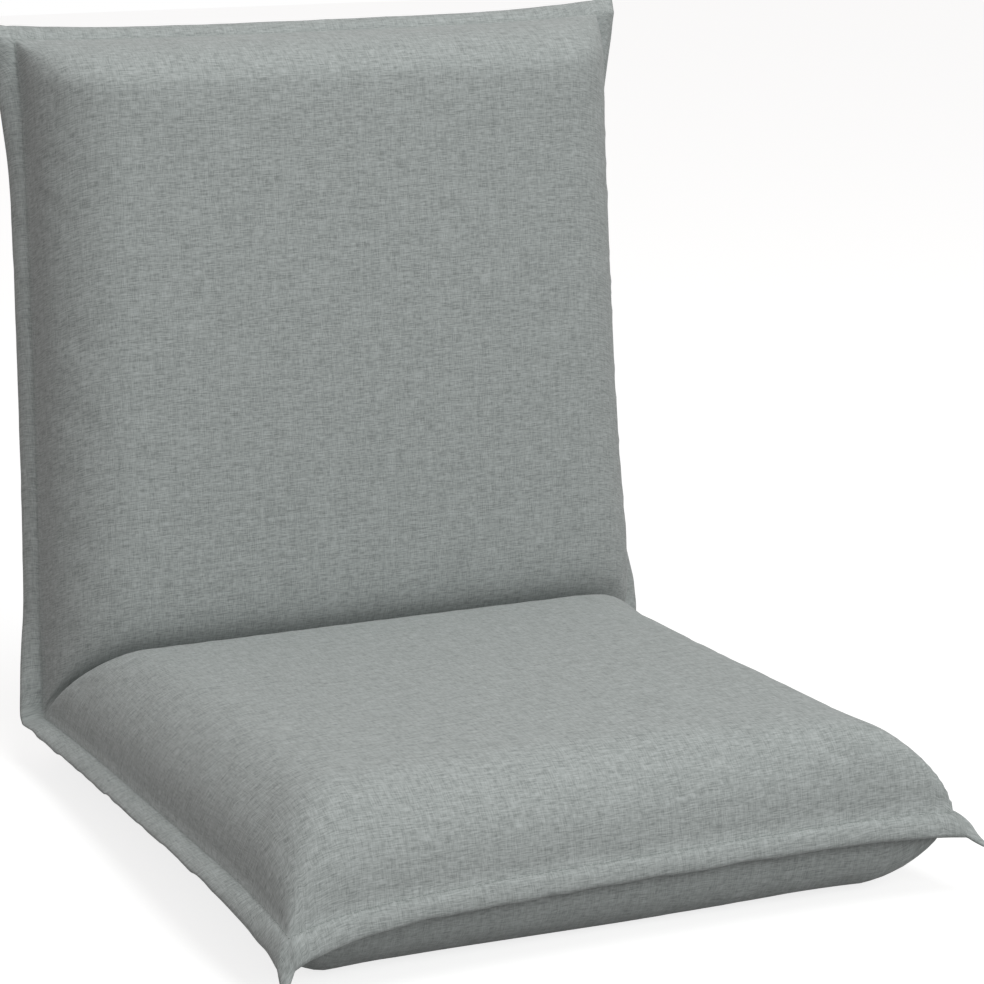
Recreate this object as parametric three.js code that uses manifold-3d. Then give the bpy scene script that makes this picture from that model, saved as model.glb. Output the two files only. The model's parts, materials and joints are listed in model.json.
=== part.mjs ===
// Folding floor chair: a seat pad and a back pad in one cloth cover. Each pad has a bent
// steel frame between two foams, and two ratchet hinges join the frames.
// The part faces -Y with +Z up, and stands on Z = 0 at the middle of its outline.
// Left and right are the sitter's own, so left is +X.
import * as THREE from "three";
import { mergeVertices } from "three/addons/utils/BufferGeometryUtils.js";
import Module from "manifold-3d";

const wasm = await Module();
wasm.setup();

// Driving dimensions, in millimetres and degrees
const chairWidth = 480;
const seatLength = 495;
const backLength = 512;
const restAngle = 93.7;
const faceHeight = 65;
const underDepth = 36;
const seatRise = 25;
const waist = 5.5;
const clearance = 0.3;

// Cover: two cloth panels a pad, sewn together along a flat flange
const cloth = 1;
const flangeWidth = 15;
const faceCrown = 4;
const shoulder = 56;
const hingeLean = 10;
const seatSideLean = 30;
const seatEndLean = 55;
const backSideLean = 10;
const backEndLean = 55;
const foldGap = 2;
const creaseDepth = 46;
const creaseReach = 70;
const earReach = 40;
const seatEarFlare = 20;
const seatEarDroop = 16;
const droopReach = 42;
const backEarFlare = 9;
const swellShare = 0.5;
const creaseSharpness = 3;
const creaseShares = [0, 0.18, 0.38, 0.65, 1];
const shoulderSteps = 4;
const innerSteps = 5;
const foldSteps = 6;
const linkSteps = 6;
const weldShare = 0.001;
const domeShare = 0.6;

// Frames: a U of round steel tube, a cross tube and three elastic straps in each pad
const tubeRadius = 8;
const tubeWall = 1.2;
const tubeDrop = 11;
const railInset = 50;
const frameInset = 62;
const bendRadius = 60;
const crossStep = 43;
const strapWidth = 40;
const strapCloth = 1.2;
const strapCount = 3;
const strapStep = 60;
const ringsPerBend = 6;
const tubeSides = 12;

// Hinges: seat arm outside, back arm inside, ratchet plate and pawl in the middle
const pivotRadius = 4;
const plateThickness = 2;
const ratchetThickness = 5;
const washerThickness = 0.8;
const washerRadius = 9;
const bossRadius = 16;
const armReach = 57;
const collarLength = 8;
const spigotLength = 26;
const spigotPlay = 0.3;
const boreAllowance = 0.25;
const rivetHead = 2;
const rivetHeadRadius = 7;
const holeSides = 16;

// Ratchet: seven steps from the rest angle to flat, and four to folded
const toothTip = 22;
const toothDepth = 2.6;
const stepsToFlat = 7;
const stepsToFolded = 4;
const noseAngle = 40;
const rootHalf = 2;
const wallHalf = 2.4;
const tipLand = 2;
const tailNear = [12, -8];
const tailBack = 17;
const tailLow = -12;
const tailNearRadius = 6;
const tailFarRadius = 5;
const tailRivetSteps = [14, 1.5];
const tailRivetLevels = [-10, -12];
const smallRivetRadius = 2;
const smallHead = 1.2;
const smallHeadRadius = 3.4;

// Pawl: drawn lifted off the teeth, as it is while the back is being moved
const pawlPin = [28.7, -0.5];
const pawlPinRadius = 2;
const pawlBoss = 5;
const pawlLift = 9;
const noseHalf = 0.35;
const noseSpread = 0.2;
const noseRamp = 2.2;
const pawlThroat = 2.6;
const pawlBack = 5;
const springThickness = 0.6;
const springWidth = 4;
const springSag = 3.2;
const throatAngles = [10, 20, 30];
const throatRise = 10;
const backAngles = [30, 18, 6, -1];
const backRise = 60;
const plainSteps = 6;

// Zip: in a shallow channel low on the rear of the back
const zipPlace = 58;
const zipHalfLength = 150;
const channelDepth = 6;
const channelFlat = 9;
const channelHalf = 17;
const tapeWidth = 6.5;
const tapeThickness = 0.6;
const coilWidth = 2.6;
const coilThickness = 1.6;
const coilPitch = 12;
const stopLength = 3;
const stopWidth = 4.4;
const sliderLength = 12;
const sliderWidth = 8;
const sliderThickness = 1.6;
const crownThickness = 0.9;
const crownWidth = 1.2;
const crownSteps = 6;
const pullLength = 24;
const pullWidth = 5.2;
const pullThickness = 1.2;
const pullHole = 1.6;
const pullTaperShare = 0.8;

// Sizes that follow from those above
const radians = THREE.MathUtils.degToRad;
const halfWidth = chairWidth / 2;
const stitchedX = halfWidth - flangeWidth;
const railX = halfWidth - railInset;
const foldSlope = Math.tan(radians(restAngle / 2));
const tubeStart = armReach + collarLength + clearance;
const crossPlace = armReach + crossStep;
const strapStart = crossPlace + strapStep;
const tailFar = [armReach - tailBack, tailLow];
const tailRivets = tailRivetSteps.map((step, i) => [tailFar[0] - step, tailRivetLevels[i]]);
const backCheekIn = ratchetThickness / 2 + clearance + clearance / 2;
const backCheekOut = backCheekIn + plateThickness;
const washerIn = backCheekOut + clearance;
const washerOut = washerIn + washerThickness;
const seatCheekIn = washerOut + clearance;
const seatCheekOut = seatCheekIn + plateThickness;
const hingeHalf = seatCheekOut + rivetHead + clearance;
const wheelReach = toothTip + clearance;
const notchPitch = (180 - restAngle) / stepsToFlat;
const toothRoot = toothTip - toothDepth;
const overrun = tubeRadius;
const pullBar = pullWidth / 2 - pullHole;
const crownIn = Math.hypot(pullBar / 2, pullThickness / 2) + clearance;
const crownOut = crownIn + crownThickness;
const sliderTop = coilThickness + clearance + sliderThickness;
const sliderPlace = zipHalfLength - sliderLength / 2 - clearance;

const seat = {
  name: "seat",
  direction: -1,
  length: seatLength,
  flare: seatEarFlare,
  droop: seatEarDroop,
  rise: seatRise,
  sideLean: seatSideLean,
  endLean: seatEndLean,
  channel: 0,
};
const back = {
  name: "back",
  direction: 1,
  length: backLength,
  flare: backEarFlare,
  droop: 0,
  rise: 0,
  sideLean: backSideLean,
  endLean: backEndLean,
  channel: channelDepth,
};
const sides = { left: 1, right: -1 };

const finishes = {
  cover: { color: 0x9aa3a0, roughness: 0.95, metalness: 0 },
  foam: { color: 0xe8e2cf, roughness: 1, metalness: 0 },
  frame: { color: 0x2b2d30, roughness: 0.45, metalness: 0.4 },
  zinc: { color: 0xb9bcc0, roughness: 0.35, metalness: 0.9 },
  webbing: { color: 0x34363a, roughness: 0.9, metalness: 0 },
  zipCloth: { color: 0x868e8b, roughness: 0.9, metalness: 0 },
  zipCoil: { color: 0x7d8482, roughness: 0.5, metalness: 0 },
};

// Small tools for closed bodies

// Merges the shared corners and turns the faces out, whichever way the body was mirrored.
function closed(geometry) {
  const bare = geometry.clone();
  bare.deleteAttribute("normal");
  bare.deleteAttribute("uv");
  const merged = mergeVertices(bare, clearance * weldShare);
  const place = merged.attributes.position;
  const index = merged.index.array;
  const corners = [new THREE.Vector3(), new THREE.Vector3(), new THREE.Vector3()];
  let volume = 0;
  for (let i = 0; i < index.length; i += 3) {
    corners.forEach((corner, k) => corner.fromBufferAttribute(place, index[i + k]));
    volume += corners[0].dot(corners[1].clone().cross(corners[2]));
  }
  if (volume < 0) {
    for (let i = 0; i < index.length; i += 3) {
      [index[i + 1], index[i + 2]] = [index[i + 2], index[i + 1]];
    }
  }
  merged.computeVertexNormals();
  return merged;
}

function solidOf(geometry) {
  const bare = closed(geometry);
  return new wasm.Manifold(
    new wasm.Mesh({
      numProp: 3,
      vertProperties: bare.attributes.position.array,
      triVerts: new Uint32Array(bare.index.array),
    }),
  );
}

function geometryOf(solid) {
  const mesh = solid.getMesh();
  const geometry = new THREE.BufferGeometry();
  geometry.setAttribute("position", new THREE.BufferAttribute(mesh.vertProperties, 3));
  geometry.setIndex(new THREE.BufferAttribute(mesh.triVerts, 1));
  geometry.computeVertexNormals();
  return geometry;
}

function joined(...geometries) {
  return geometryOf(geometries.map(solidOf).reduce((whole, piece) => whole.add(piece)));
}

function cut(geometry, cutters) {
  const whole = solidOf(geometry);
  return geometryOf(cutters.map(solidOf).reduce((rest, cutter) => rest.subtract(cutter), whole));
}

function addPiece(group, name, geometry, finish) {
  const material = new THREE.MeshStandardMaterial(finishes[finish]);
  const mesh = new THREE.Mesh(closed(geometry), material);
  mesh.name = name;
  group.add(mesh);
  return mesh;
}

// Places a pad's own lengths: s runs from the fold along the pad, and h up through its thickness.
function padPoint(pad, x, s, h) {
  return new THREE.Vector3(x, pad.direction * s, h);
}

// Joins two sheets of points, row by row, into one closed body.
function bodyBetween(top, bottom, columns) {
  const rows = top.length / columns;
  const under = top.length;
  const index = [];
  const quad = (a, b, c, d) => index.push(a, b, c, a, c, d);
  for (let row = 0; row < rows - 1; row += 1) {
    for (let column = 0; column < columns - 1; column += 1) {
      const a = row * columns + column;
      const b = a + 1;
      const d = a + columns;
      const e = d + 1;
      quad(a, b, e, d);
      quad(under + a, under + d, under + e, under + b);
      if (row === 0) quad(a, under + a, under + b, b);
      if (row === rows - 2) quad(d, e, under + e, under + d);
      if (column === 0) quad(a, d, under + d, under + a);
      if (column === columns - 2) quad(e, b, under + b, under + e);
    }
  }
  const geometry = new THREE.BufferGeometry();
  geometry.setFromPoints([...top, ...bottom]);
  geometry.setIndex(index);
  return geometry;
}

function circle(radius, sides, x = 0, y = 0) {
  return Array.from({ length: sides }, (_, i) => {
    const turn = (2 * Math.PI * i) / sides;
    return new THREE.Vector2(x + radius * Math.cos(turn), y + radius * Math.sin(turn));
  });
}

// A flat bar's outline: two circles and the lines that touch them both.
function link([ax, ay], aRadius, [bx, by], bRadius) {
  const heading = Math.atan2(by - ay, bx - ax);
  const spread = Math.acos((aRadius - bRadius) / Math.hypot(bx - ax, by - ay));
  const arc = (x, y, radius, from, to) =>
    Array.from({ length: linkSteps + 1 }, (_, i) => {
      const turn = from + ((to - from) * i) / linkSteps;
      return new THREE.Vector2(x + radius * Math.cos(turn), y + radius * Math.sin(turn));
    });
  return [
    ...arc(ax, ay, aRadius, heading + spread, heading + 2 * Math.PI - spread),
    ...arc(bx, by, bRadius, heading - spread, heading + spread),
  ];
}

// A plate whose outline is given in a pad's s and h, and whose thickness lies along X.
function plate(pad, outline, from, to, holes = []) {
  const placed = (points) => {
    const turnedRound = points.map((p) => new THREE.Vector2(pad.direction * p.x, p.y));
    return THREE.ShapeUtils.isClockWise(turnedRound) ? turnedRound.reverse() : turnedRound;
  };
  const shape = new THREE.Shape(placed(outline));
  shape.holes = holes.map((hole) => new THREE.Path(placed(hole)));
  const geometry = new THREE.ExtrudeGeometry(shape, { depth: to - from, bevelEnabled: false });
  geometry.translate(0, 0, from);
  const across = new THREE.Vector3(1, 0, 0);
  const along = new THREE.Vector3(0, 1, 0);
  const up = new THREE.Vector3(0, 0, 1);
  return geometry.applyMatrix4(new THREE.Matrix4().makeBasis(along, up, across));
}

// A rod along X, turned from a half outline of [radius, place along X] points.
function turned(profile, sideCount = holeSides) {
  const geometry = new THREE.LatheGeometry(
    profile.map(([radius, place]) => new THREE.Vector2(radius, place)),
    sideCount,
  );
  return geometry.rotateZ(-Math.PI / 2);
}

function block(from, to) {
  const size = to.clone().sub(from);
  const geometry = new THREE.BoxGeometry(Math.abs(size.x), Math.abs(size.y), Math.abs(size.z));
  const middle = from.clone().add(to).multiplyScalar(0.5);
  return geometry.translate(middle.x, middle.y, middle.z);
}

// A path of straight runs and round bends, with rings only where it turns.
class BentPath extends THREE.Curve {
  constructor(corners, radius) {
    super();
    this.stations = [corners[0]];
    this.headings = [corners[1].clone().sub(corners[0]).normalize()];
    for (let i = 1; i < corners.length - 1; i += 1) {
      const before = corners[i].clone().sub(corners[i - 1]).normalize();
      const after = corners[i + 1].clone().sub(corners[i]).normalize();
      const turn = before.angleTo(after);
      const start = corners[i].clone().addScaledVector(before, -radius * Math.tan(turn / 2));
      const inward = after.clone().addScaledVector(before, -before.dot(after)).normalize();
      for (let ring = 0; ring <= ringsPerBend; ring += 1) {
        const angle = (turn * ring) / ringsPerBend;
        this.stations.push(
          start
            .clone()
            .addScaledVector(before, radius * Math.sin(angle))
            .addScaledVector(inward, radius * (1 - Math.cos(angle))),
        );
        this.headings.push(
          before.clone().multiplyScalar(Math.cos(angle)).addScaledVector(inward, Math.sin(angle)),
        );
      }
    }
    const last = corners.length - 1;
    this.stations.push(corners[last]);
    this.headings.push(corners[last].clone().sub(corners[last - 1]).normalize());
  }
  between(list, t) {
    const place = t * (list.length - 1);
    const low = Math.min(Math.floor(place), list.length - 2);
    return list[low].clone().lerp(list[low + 1], place - low);
  }
  getPoint(t) {
    return this.between(this.stations, t);
  }
  getTangent(t) {
    return this.between(this.headings, t).normalize();
  }
  getUtoTmapping(u) {
    return u;
  }
}

function swept(path, outline, hole) {
  const shape = new THREE.Shape(outline);
  if (hole) shape.holes = [new THREE.Path(hole)];
  return new THREE.ExtrudeGeometry(shape, {
    steps: path.stations.length - 1,
    extrudePath: path,
    bevelEnabled: false,
  });
}

// The pads' cloth surfaces

// How far the pad has swelled at a distance in from the stitched line, from 0 to 1.
function swell(distance) {
  const share = THREE.MathUtils.clamp(distance / shoulder, 0, 1);
  return Math.pow(1 - (1 - share) ** 2, swellShare);
}

function lesser(a, b) {
  if (a <= 0 || b <= 0) return 0;
  return Math.pow(a ** -creaseSharpness + b ** -creaseSharpness, -1 / creaseSharpness);
}

// The channel that lets the zip lie below the cloth around it.
function channelAt(s) {
  const distance = Math.abs(s - zipPlace);
  return 1 - THREE.MathUtils.clamp((distance - channelFlat) / (channelHalf - channelFlat), 0, 1);
}

// How near a place is to the pad's free corner, from 0 to 1 at the corner itself.
function cornerShare(pad, x, s, reach) {
  return Math.exp(-(halfWidth - Math.abs(x) + pad.length - s) / reach);
}

// How far the middle of the cover hangs down towards a free corner.
function sag(pad, x, s) {
  const filled = swell(stitchedX - Math.abs(x)) * swell(pad.length - flangeWidth - s);
  return pad.droop * cornerShare(pad, x, s, droopReach) * (1 - filled);
}

// How far the seam lies above the pad's own plane: the seat's rises towards the front.
function lift(pad, along) {
  return (pad.rise * along) / pad.length;
}

// How far a side flange leans out of the pad's plane, which grows away from the fold.
function sideLean(pad, s) {
  const share = THREE.MathUtils.smoothstep(s, 0, creaseReach);
  return radians(hingeLean + (pad.sideLean - hingeLean) * share);
}

// From 0 inside the stitched line, through a half on it, to 1 out on the flange.
function leanShare(outside) {
  return THREE.MathUtils.clamp((outside / cloth + 1) / 2, 0, 1);
}

// A point of a pad's outer surface: side is 1 on the sitter's side and -1 beneath or behind.
function surfacePoint(pad, side, x, s) {
  const out = Math.sign(x);
  const pastSide = Math.abs(x) - stitchedX;
  const pastEnd = s - (pad.length - flangeWidth);
  const overSide = Math.max(pastSide, 0);
  const overEnd = Math.max(pastEnd, 0);
  const sideSwell = swell(-pastSide);
  const endSwell = swell(-pastEnd);
  const start = side > 0 ? foldGap + creaseDepth * sideSwell : clearance;
  const along = start + (s - overEnd) * (1 - start / pad.length);
  const level = lift(pad, along);
  const skin = clearance / 2 + cloth;
  let height;
  if (side > 0) {
    const crown = faceCrown * (1 - (x / halfWidth) ** 2) * Math.sin((Math.PI * s) / pad.length);
    const room = along * (foldSlope - pad.rise / pad.length) - skin - clearance;
    height = lesser((faceHeight + crown) * sideSwell * endSwell, room);
  } else {
    const depth = underDepth + level - skin - pad.channel * channelAt(s);
    height = depth * sideSwell * endSwell;
  }
  const leanSide = sideLean(pad, s);
  const leanEnd = radians(pad.endLean);
  const tiltSide = leanSide * leanShare(pastSide);
  const tiltEnd = leanEnd * leanShare(pastEnd);
  const facing = new THREE.Vector3(
    out * Math.sin(tiltSide) * Math.cos(tiltEnd),
    Math.cos(tiltSide) * Math.sin(tiltEnd),
    Math.cos(tiltSide) * Math.cos(tiltEnd),
  ).setLength(side * skin);
  const flare = pad.flare * cornerShare(pad, x, s, earReach);
  const width = 1 + (waist * (1 - (2 * s) / pad.length)) / halfWidth;
  const fallen = overSide * Math.sin(leanSide) + overEnd * Math.sin(leanEnd) + sag(pad, x, s);
  return padPoint(
    pad,
    width * (x - out * overSide) + out * (overSide * Math.cos(leanSide) + flare) + facing.x,
    along + overEnd * Math.cos(leanEnd) + flare + facing.y,
    side * height + level - fallen + facing.z,
  );
}

// The same point moved in through the cloth by a depth.
function depthPoint(pad, side, x, s, depth) {
  const step = clearance;
  const across = surfacePoint(pad, side, x + step, s).sub(surfacePoint(pad, side, x - step, s));
  const along = surfacePoint(pad, side, x, s + step).sub(surfacePoint(pad, side, x, s - step));
  const normal = across.cross(along).normalize();
  if (normal.z * side < 0) normal.negate();
  return surfacePoint(pad, side, x, s).addScaledVector(normal, -depth);
}

function spread(from, to, count) {
  return Array.from({ length: count - 1 }, (_, i) => from + ((to - from) * (i + 1)) / count);
}

// Distances in from the edge where the shoulder needs points: closer together where it is steep.
function shoulderPlaces() {
  return Array.from({ length: shoulderSteps + 1 }, (_, i) => {
    const turn = ((Math.PI / 2) * i) / shoulderSteps;
    return flangeWidth + shoulder * (1 - Math.cos(turn));
  });
}

function placesAcross(withFlange) {
  const edge = shoulderPlaces().slice(withFlange ? 0 : 1);
  const low = (withFlange ? [0, ...edge] : edge).map((place) => place - halfWidth);
  const inner = low[low.length - 1];
  return [...low, ...spread(inner, -inner, innerSteps), ...low.map((x) => -x).reverse()];
}

function placesAlong(pad, near, withFlange) {
  const edge = shoulderPlaces().slice(withFlange ? 0 : 1);
  const high = (withFlange ? [0, ...edge] : edge).map((place) => pad.length - place).reverse();
  return [...near, ...spread(near[near.length - 1], high[0], innerSteps), ...high];
}

function nearPlaces(pad, side) {
  if (side > 0 || !pad.channel) return creaseShares.map((share) => share * creaseReach);
  const steps = [-channelHalf, -channelFlat, channelFlat, channelHalf];
  return [0, ...steps.map((step) => zipPlace + step)];
}

function padSheet(pad, side, withFlange, pointAt) {
  const across = placesAcross(withFlange);
  const along = placesAlong(pad, nearPlaces(pad, side), withFlange);
  return {
    columns: across.length,
    points: along.flatMap((s) => across.map((x) => pointAt(x, s))),
  };
}

function panelBody(pad, side) {
  const outer = padSheet(pad, side, true, (x, s) => surfacePoint(pad, side, x, s));
  const inner = padSheet(pad, side, true, (x, s) => depthPoint(pad, side, x, s, cloth));
  return bodyBetween(outer.points, inner.points, outer.columns);
}

// A foam fills its panel, with the clearance all round, down to the middle of the pad.
function foamBody(pad, side) {
  const depth = cloth + clearance;
  const outer = padSheet(pad, side, false, (x, s) => depthPoint(pad, side, x, s, depth));
  const flat = padSheet(pad, side, false, (x, s) => {
    const point = surfacePoint(pad, side, x, s);
    const level = lift(pad, pad.direction * point.y);
    return point.setZ(side * clearance + level - sag(pad, x, s));
  });
  return bodyBetween(outer.points, flat.points, outer.columns);
}

// Frames

function framePath(pad) {
  const end = pad.length - frameInset;
  return new BentPath(
    [
      padPoint(pad, -railX, tubeStart, -tubeDrop),
      padPoint(pad, -railX, end, -tubeDrop),
      padPoint(pad, railX, end, -tubeDrop),
      padPoint(pad, railX, tubeStart, -tubeDrop),
    ],
    bendRadius,
  );
}

function tubeRivetPlace() {
  return tubeStart + spigotLength / 2;
}

function frameTube(pad) {
  const tube = swept(
    framePath(pad),
    circle(tubeRadius, tubeSides),
    circle(tubeRadius - tubeWall, tubeSides),
  );
  const holes = Object.values(sides).map((side) => {
    const hole = new THREE.CylinderGeometry(
      smallRivetRadius + boreAllowance,
      smallRivetRadius + boreAllowance,
      2 * (tubeRadius + overrun),
      holeSides,
    );
    hole.rotateX(Math.PI / 2);
    return hole.translate(side * railX, pad.direction * tubeRivetPlace(), -tubeDrop);
  });
  return cut(tube, holes);
}

function crossTube(pad) {
  const half = railX - tubeRadius - clearance;
  const bar = tubeRadius - tubeWall;
  const shape = new THREE.Shape(circle(bar, tubeSides));
  shape.holes = [new THREE.Path(circle(bar - tubeWall, tubeSides))];
  const geometry = new THREE.ExtrudeGeometry(shape, { depth: 2 * half, bevelEnabled: false });
  geometry.rotateY(Math.PI / 2);
  return geometry.translate(-half, pad.direction * crossPlace, -tubeDrop);
}

function strapPlaces(pad) {
  const last = pad.length - frameInset - bendRadius - strapWidth;
  const pitch = (last - strapStart) / (strapCount - 1);
  return Array.from({ length: strapCount }, (_, i) => strapStart + pitch * i);
}

// An elastic band round both rails.
function strapBody(pad, place) {
  const inside = tubeRadius + clearance;
  const band = (radius) =>
    link([-railX, -tubeDrop], radius, [railX, -tubeDrop], radius).map((p) => p.clone());
  const shape = new THREE.Shape(band(inside + strapCloth));
  shape.holes = [new THREE.Path(band(inside))];
  const geometry = new THREE.ExtrudeGeometry(shape, { depth: strapWidth, bevelEnabled: false });
  geometry.rotateX(Math.PI / 2);
  return geometry.translate(0, pad.direction * place + strapWidth / 2, 0);
}

// The hollow in a lower or rear foam for its tubes, straps and hinges.
function frameRoom(pad) {
  const radius = tubeRadius + strapCloth + 2 * clearance;
  const top = pad.rise + overrun;
  const slot = [
    new THREE.Vector2(-tubeDrop - top, -radius),
    ...Array.from({ length: tubeSides / 2 + 1 }, (_, i) => {
      const turn = -Math.PI / 2 + (Math.PI * i) / (tubeSides / 2);
      return new THREE.Vector2(radius * Math.cos(turn), radius * Math.sin(turn));
    }),
    new THREE.Vector2(-tubeDrop - top, radius),
  ];
  const room = [swept(framePath(pad), slot)];
  const floor = -tubeDrop - radius;
  const edge = clearance + radius;
  strapPlaces(pad).forEach((place) => {
    const half = strapWidth / 2 + clearance;
    room.push(
      block(padPoint(pad, -railX, place - half, floor), padPoint(pad, railX, place + half, top)),
    );
  });
  room.push(
    block(
      padPoint(pad, -railX, crossPlace - edge, floor),
      padPoint(pad, railX, crossPlace + edge, top),
    ),
  );
  return [...room, ...hingeRoom(pad)];
}

// The hollow in both foams for the hinge plates, their rivets and the tube ends.
function hingeRoom(pad) {
  const half = hingeHalf + clearance;
  const reach = tubeRivetPlace() + smallHeadRadius + foldGap;
  const wheel = wheelReach + foldGap;
  const low = -toothTip - foldGap;
  return Object.values(sides).flatMap((side) => [
    block(
      padPoint(pad, side * railX - half, -overrun, low),
      padPoint(pad, side * railX + half, wheel, wheelReach),
    ),
    block(
      padPoint(pad, side * railX - half, -overrun / 2, low),
      padPoint(pad, side * railX + half, reach, bossRadius),
    ),
  ]);
}

// Hinges

function armPlate(pad, from, to, holes) {
  const outline = link([0, 0], bossRadius, [armReach, -tubeDrop], tubeRadius);
  return plate(pad, outline, from, to, holes);
}

// An arm: two cheeks that meet in a throat, a collar and a spigot that enters the tube.
function armBody(pad, side, inner, outer, holes) {
  const place = side * railX;
  const cheek = (sign) => {
    const edges = [place + sign * inner, place + sign * outer].sort((a, b) => a - b);
    return armPlate(pad, edges[0], edges[1], holes);
  };
  const throatLength = 2 * inner + plateThickness;
  const throat = new THREE.CylinderGeometry(tubeRadius, tubeRadius, throatLength, holeSides);
  throat.rotateZ(Math.PI / 2).translate(place, pad.direction * armReach, -tubeDrop);
  const collar = new THREE.CylinderGeometry(tubeRadius, tubeRadius, collarLength, tubeSides);
  collar.translate(place, pad.direction * (armReach + collarLength / 2), -tubeDrop);
  const spigotRadius = tubeRadius - tubeWall - spigotPlay;
  const spigot = new THREE.CylinderGeometry(
    spigotRadius,
    spigotRadius,
    collarLength + spigotLength,
    tubeSides,
  );
  spigot.translate(
    place,
    pad.direction * (armReach + (collarLength + collarLength + spigotLength) / 2),
    -tubeDrop,
  );
  const rivetHole = new THREE.CylinderGeometry(
    smallRivetRadius + boreAllowance,
    smallRivetRadius + boreAllowance,
    2 * (tubeRadius + overrun),
    holeSides,
  );
  rivetHole.rotateX(Math.PI / 2).translate(place, pad.direction * tubeRivetPlace(), -tubeDrop);
  return cut(joined(cheek(1), cheek(-1), throat, collar, spigot), [rivetHole]);
}

function roundHole([s, h], radius) {
  return circle(radius + boreAllowance, holeSides, s, h);
}

function polar(radius, degrees) {
  const turn = radians(degrees);
  return new THREE.Vector2(radius * Math.cos(turn), radius * Math.sin(turn));
}

// The toothed rim: angles run from the seat's own direction, up and over to the back's.
function ratchetOutline() {
  const rim = [];
  const foldedAngle = restAngle - stepsToFolded * notchPitch;
  const notches = stepsToFlat + stepsToFolded + 1;
  for (let notch = 0; notch < notches; notch += 1) {
    const angle = foldedAngle + noseAngle + notch * notchPitch;
    rim.push(polar(toothRoot, angle - rootHalf));
    rim.push(polar(toothRoot, angle + rootHalf));
    rim.push(polar(toothTip, angle + wallHalf));
    rim.push(polar(toothTip, angle + wallHalf + tipLand));
  }
  const last = foldedAngle + noseAngle + (notches - 1) * notchPitch;
  const first = foldedAngle + noseAngle - notchPitch + wallHalf + 360;
  const plainArc = first - last - 2 * wallHalf;
  for (let step = 1; step <= plainSteps; step += 1) {
    rim.push(polar(toothTip, last + wallHalf + tipLand + (plainArc * step) / plainSteps));
  }
  return rim;
}

function ratchetBody(side) {
  const from = side * railX - ratchetThickness / 2;
  const to = from + ratchetThickness;
  const wheel = plate(seat, ratchetOutline(), from, to);
  const tail = plate(seat, link(tailNear, tailNearRadius, tailFar, tailFarRadius), from, to);
  const bores = [[[0, 0], pivotRadius], ...tailRivets.map((place) => [place, smallRivetRadius])];
  const cutters = bores.map(([place, radius]) =>
    plate(seat, roundHole(place, radius), from - overrun, to + overrun),
  );
  return cut(joined(wheel, tail), cutters);
}

// The pawl's points: radius and angle behind the back's direction, at the notch it drops into.
function pawlOutline() {
  const tip = toothRoot + clearance;
  const base = toothTip + clearance;
  const beside = (radius, offset) => {
    const turn = radians(noseAngle);
    return new THREE.Vector2(
      radius * Math.cos(turn) - offset * Math.sin(turn),
      -radius * Math.sin(turn) - offset * Math.cos(turn),
    );
  };
  const behind = (radius, angle) => {
    const p = polar(radius, noseAngle - angle);
    return new THREE.Vector2(p.x, -p.y);
  };
  const outside = base + pawlThroat + pawlThroat / 2;
  return [
    beside(tip, noseHalf),
    beside(tip, -noseHalf),
    beside(base, -noseHalf - noseRamp),
    ...throatAngles.map((angle) => behind(base + clearance * (1 + angle / throatRise), angle)),
    ...backAngles.map((angle) => behind(outside + (pawlBack * angle) / backRise, angle)),
    beside(base, noseHalf + noseSpread),
  ];
}

function pawlBody(side) {
  const from = side * railX - ratchetThickness / 2;
  const to = from + ratchetThickness;
  const arm = plate(back, pawlOutline(), from, to);
  const boss = plate(back, circle(pawlBoss, holeSides, pawlPin[0], pawlPin[1]), from, to);
  const bore = plate(back, roundHole(pawlPin, pawlPinRadius), from - overrun, to + overrun);
  const body = cut(joined(arm, boss), [bore]);
  body.translate(0, -pawlPin[0], -pawlPin[1]);
  body.rotateX(radians(pawlLift));
  return body.translate(0, pawlPin[0], pawlPin[1]);
}

// A leaf that bears on the pawl's back and is held at the arm's throat.
function springBody(side) {
  const root = new THREE.Vector2(armReach - tubeRadius - clearance, -tubeDrop - springSag);
  const bend = new THREE.Vector2((root.x + pawlPin[0]) / 2, root.y - springSag / 2);
  const end = new THREE.Vector2(pawlPin[0] - pawlBoss / 2, root.y - springSag * 2);
  const line = [root, bend, end];
  const outline = [...line, ...line.map((p) => p.clone().setY(p.y - springThickness)).reverse()];
  const from = side * railX - springWidth / 2;
  return plate(back, outline, from, from + springWidth);
}

function rivetBody(radius, headRadius, head, half) {
  return turned([
    [0, -half - head],
    [headRadius * domeShare, -half - head],
    [headRadius, -half - head / 2],
    [headRadius, -half],
    [radius, -half],
    [radius, half],
    [headRadius, half],
    [headRadius, half + head / 2],
    [headRadius * domeShare, half + head],
    [0, half + head],
  ]);
}

function pinBody(radius, half) {
  return turned([
    [0, -half],
    [radius, -half],
    [radius, half],
    [0, half],
  ]);
}

function washerBody(side, sign) {
  const edges = [washerIn, washerOut].map((place) => side * railX + sign * place);
  edges.sort((a, b) => a - b);
  return plate(seat, circle(washerRadius, holeSides), edges[0], edges[1], [
    roundHole([0, 0], pivotRadius),
  ]);
}

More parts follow.
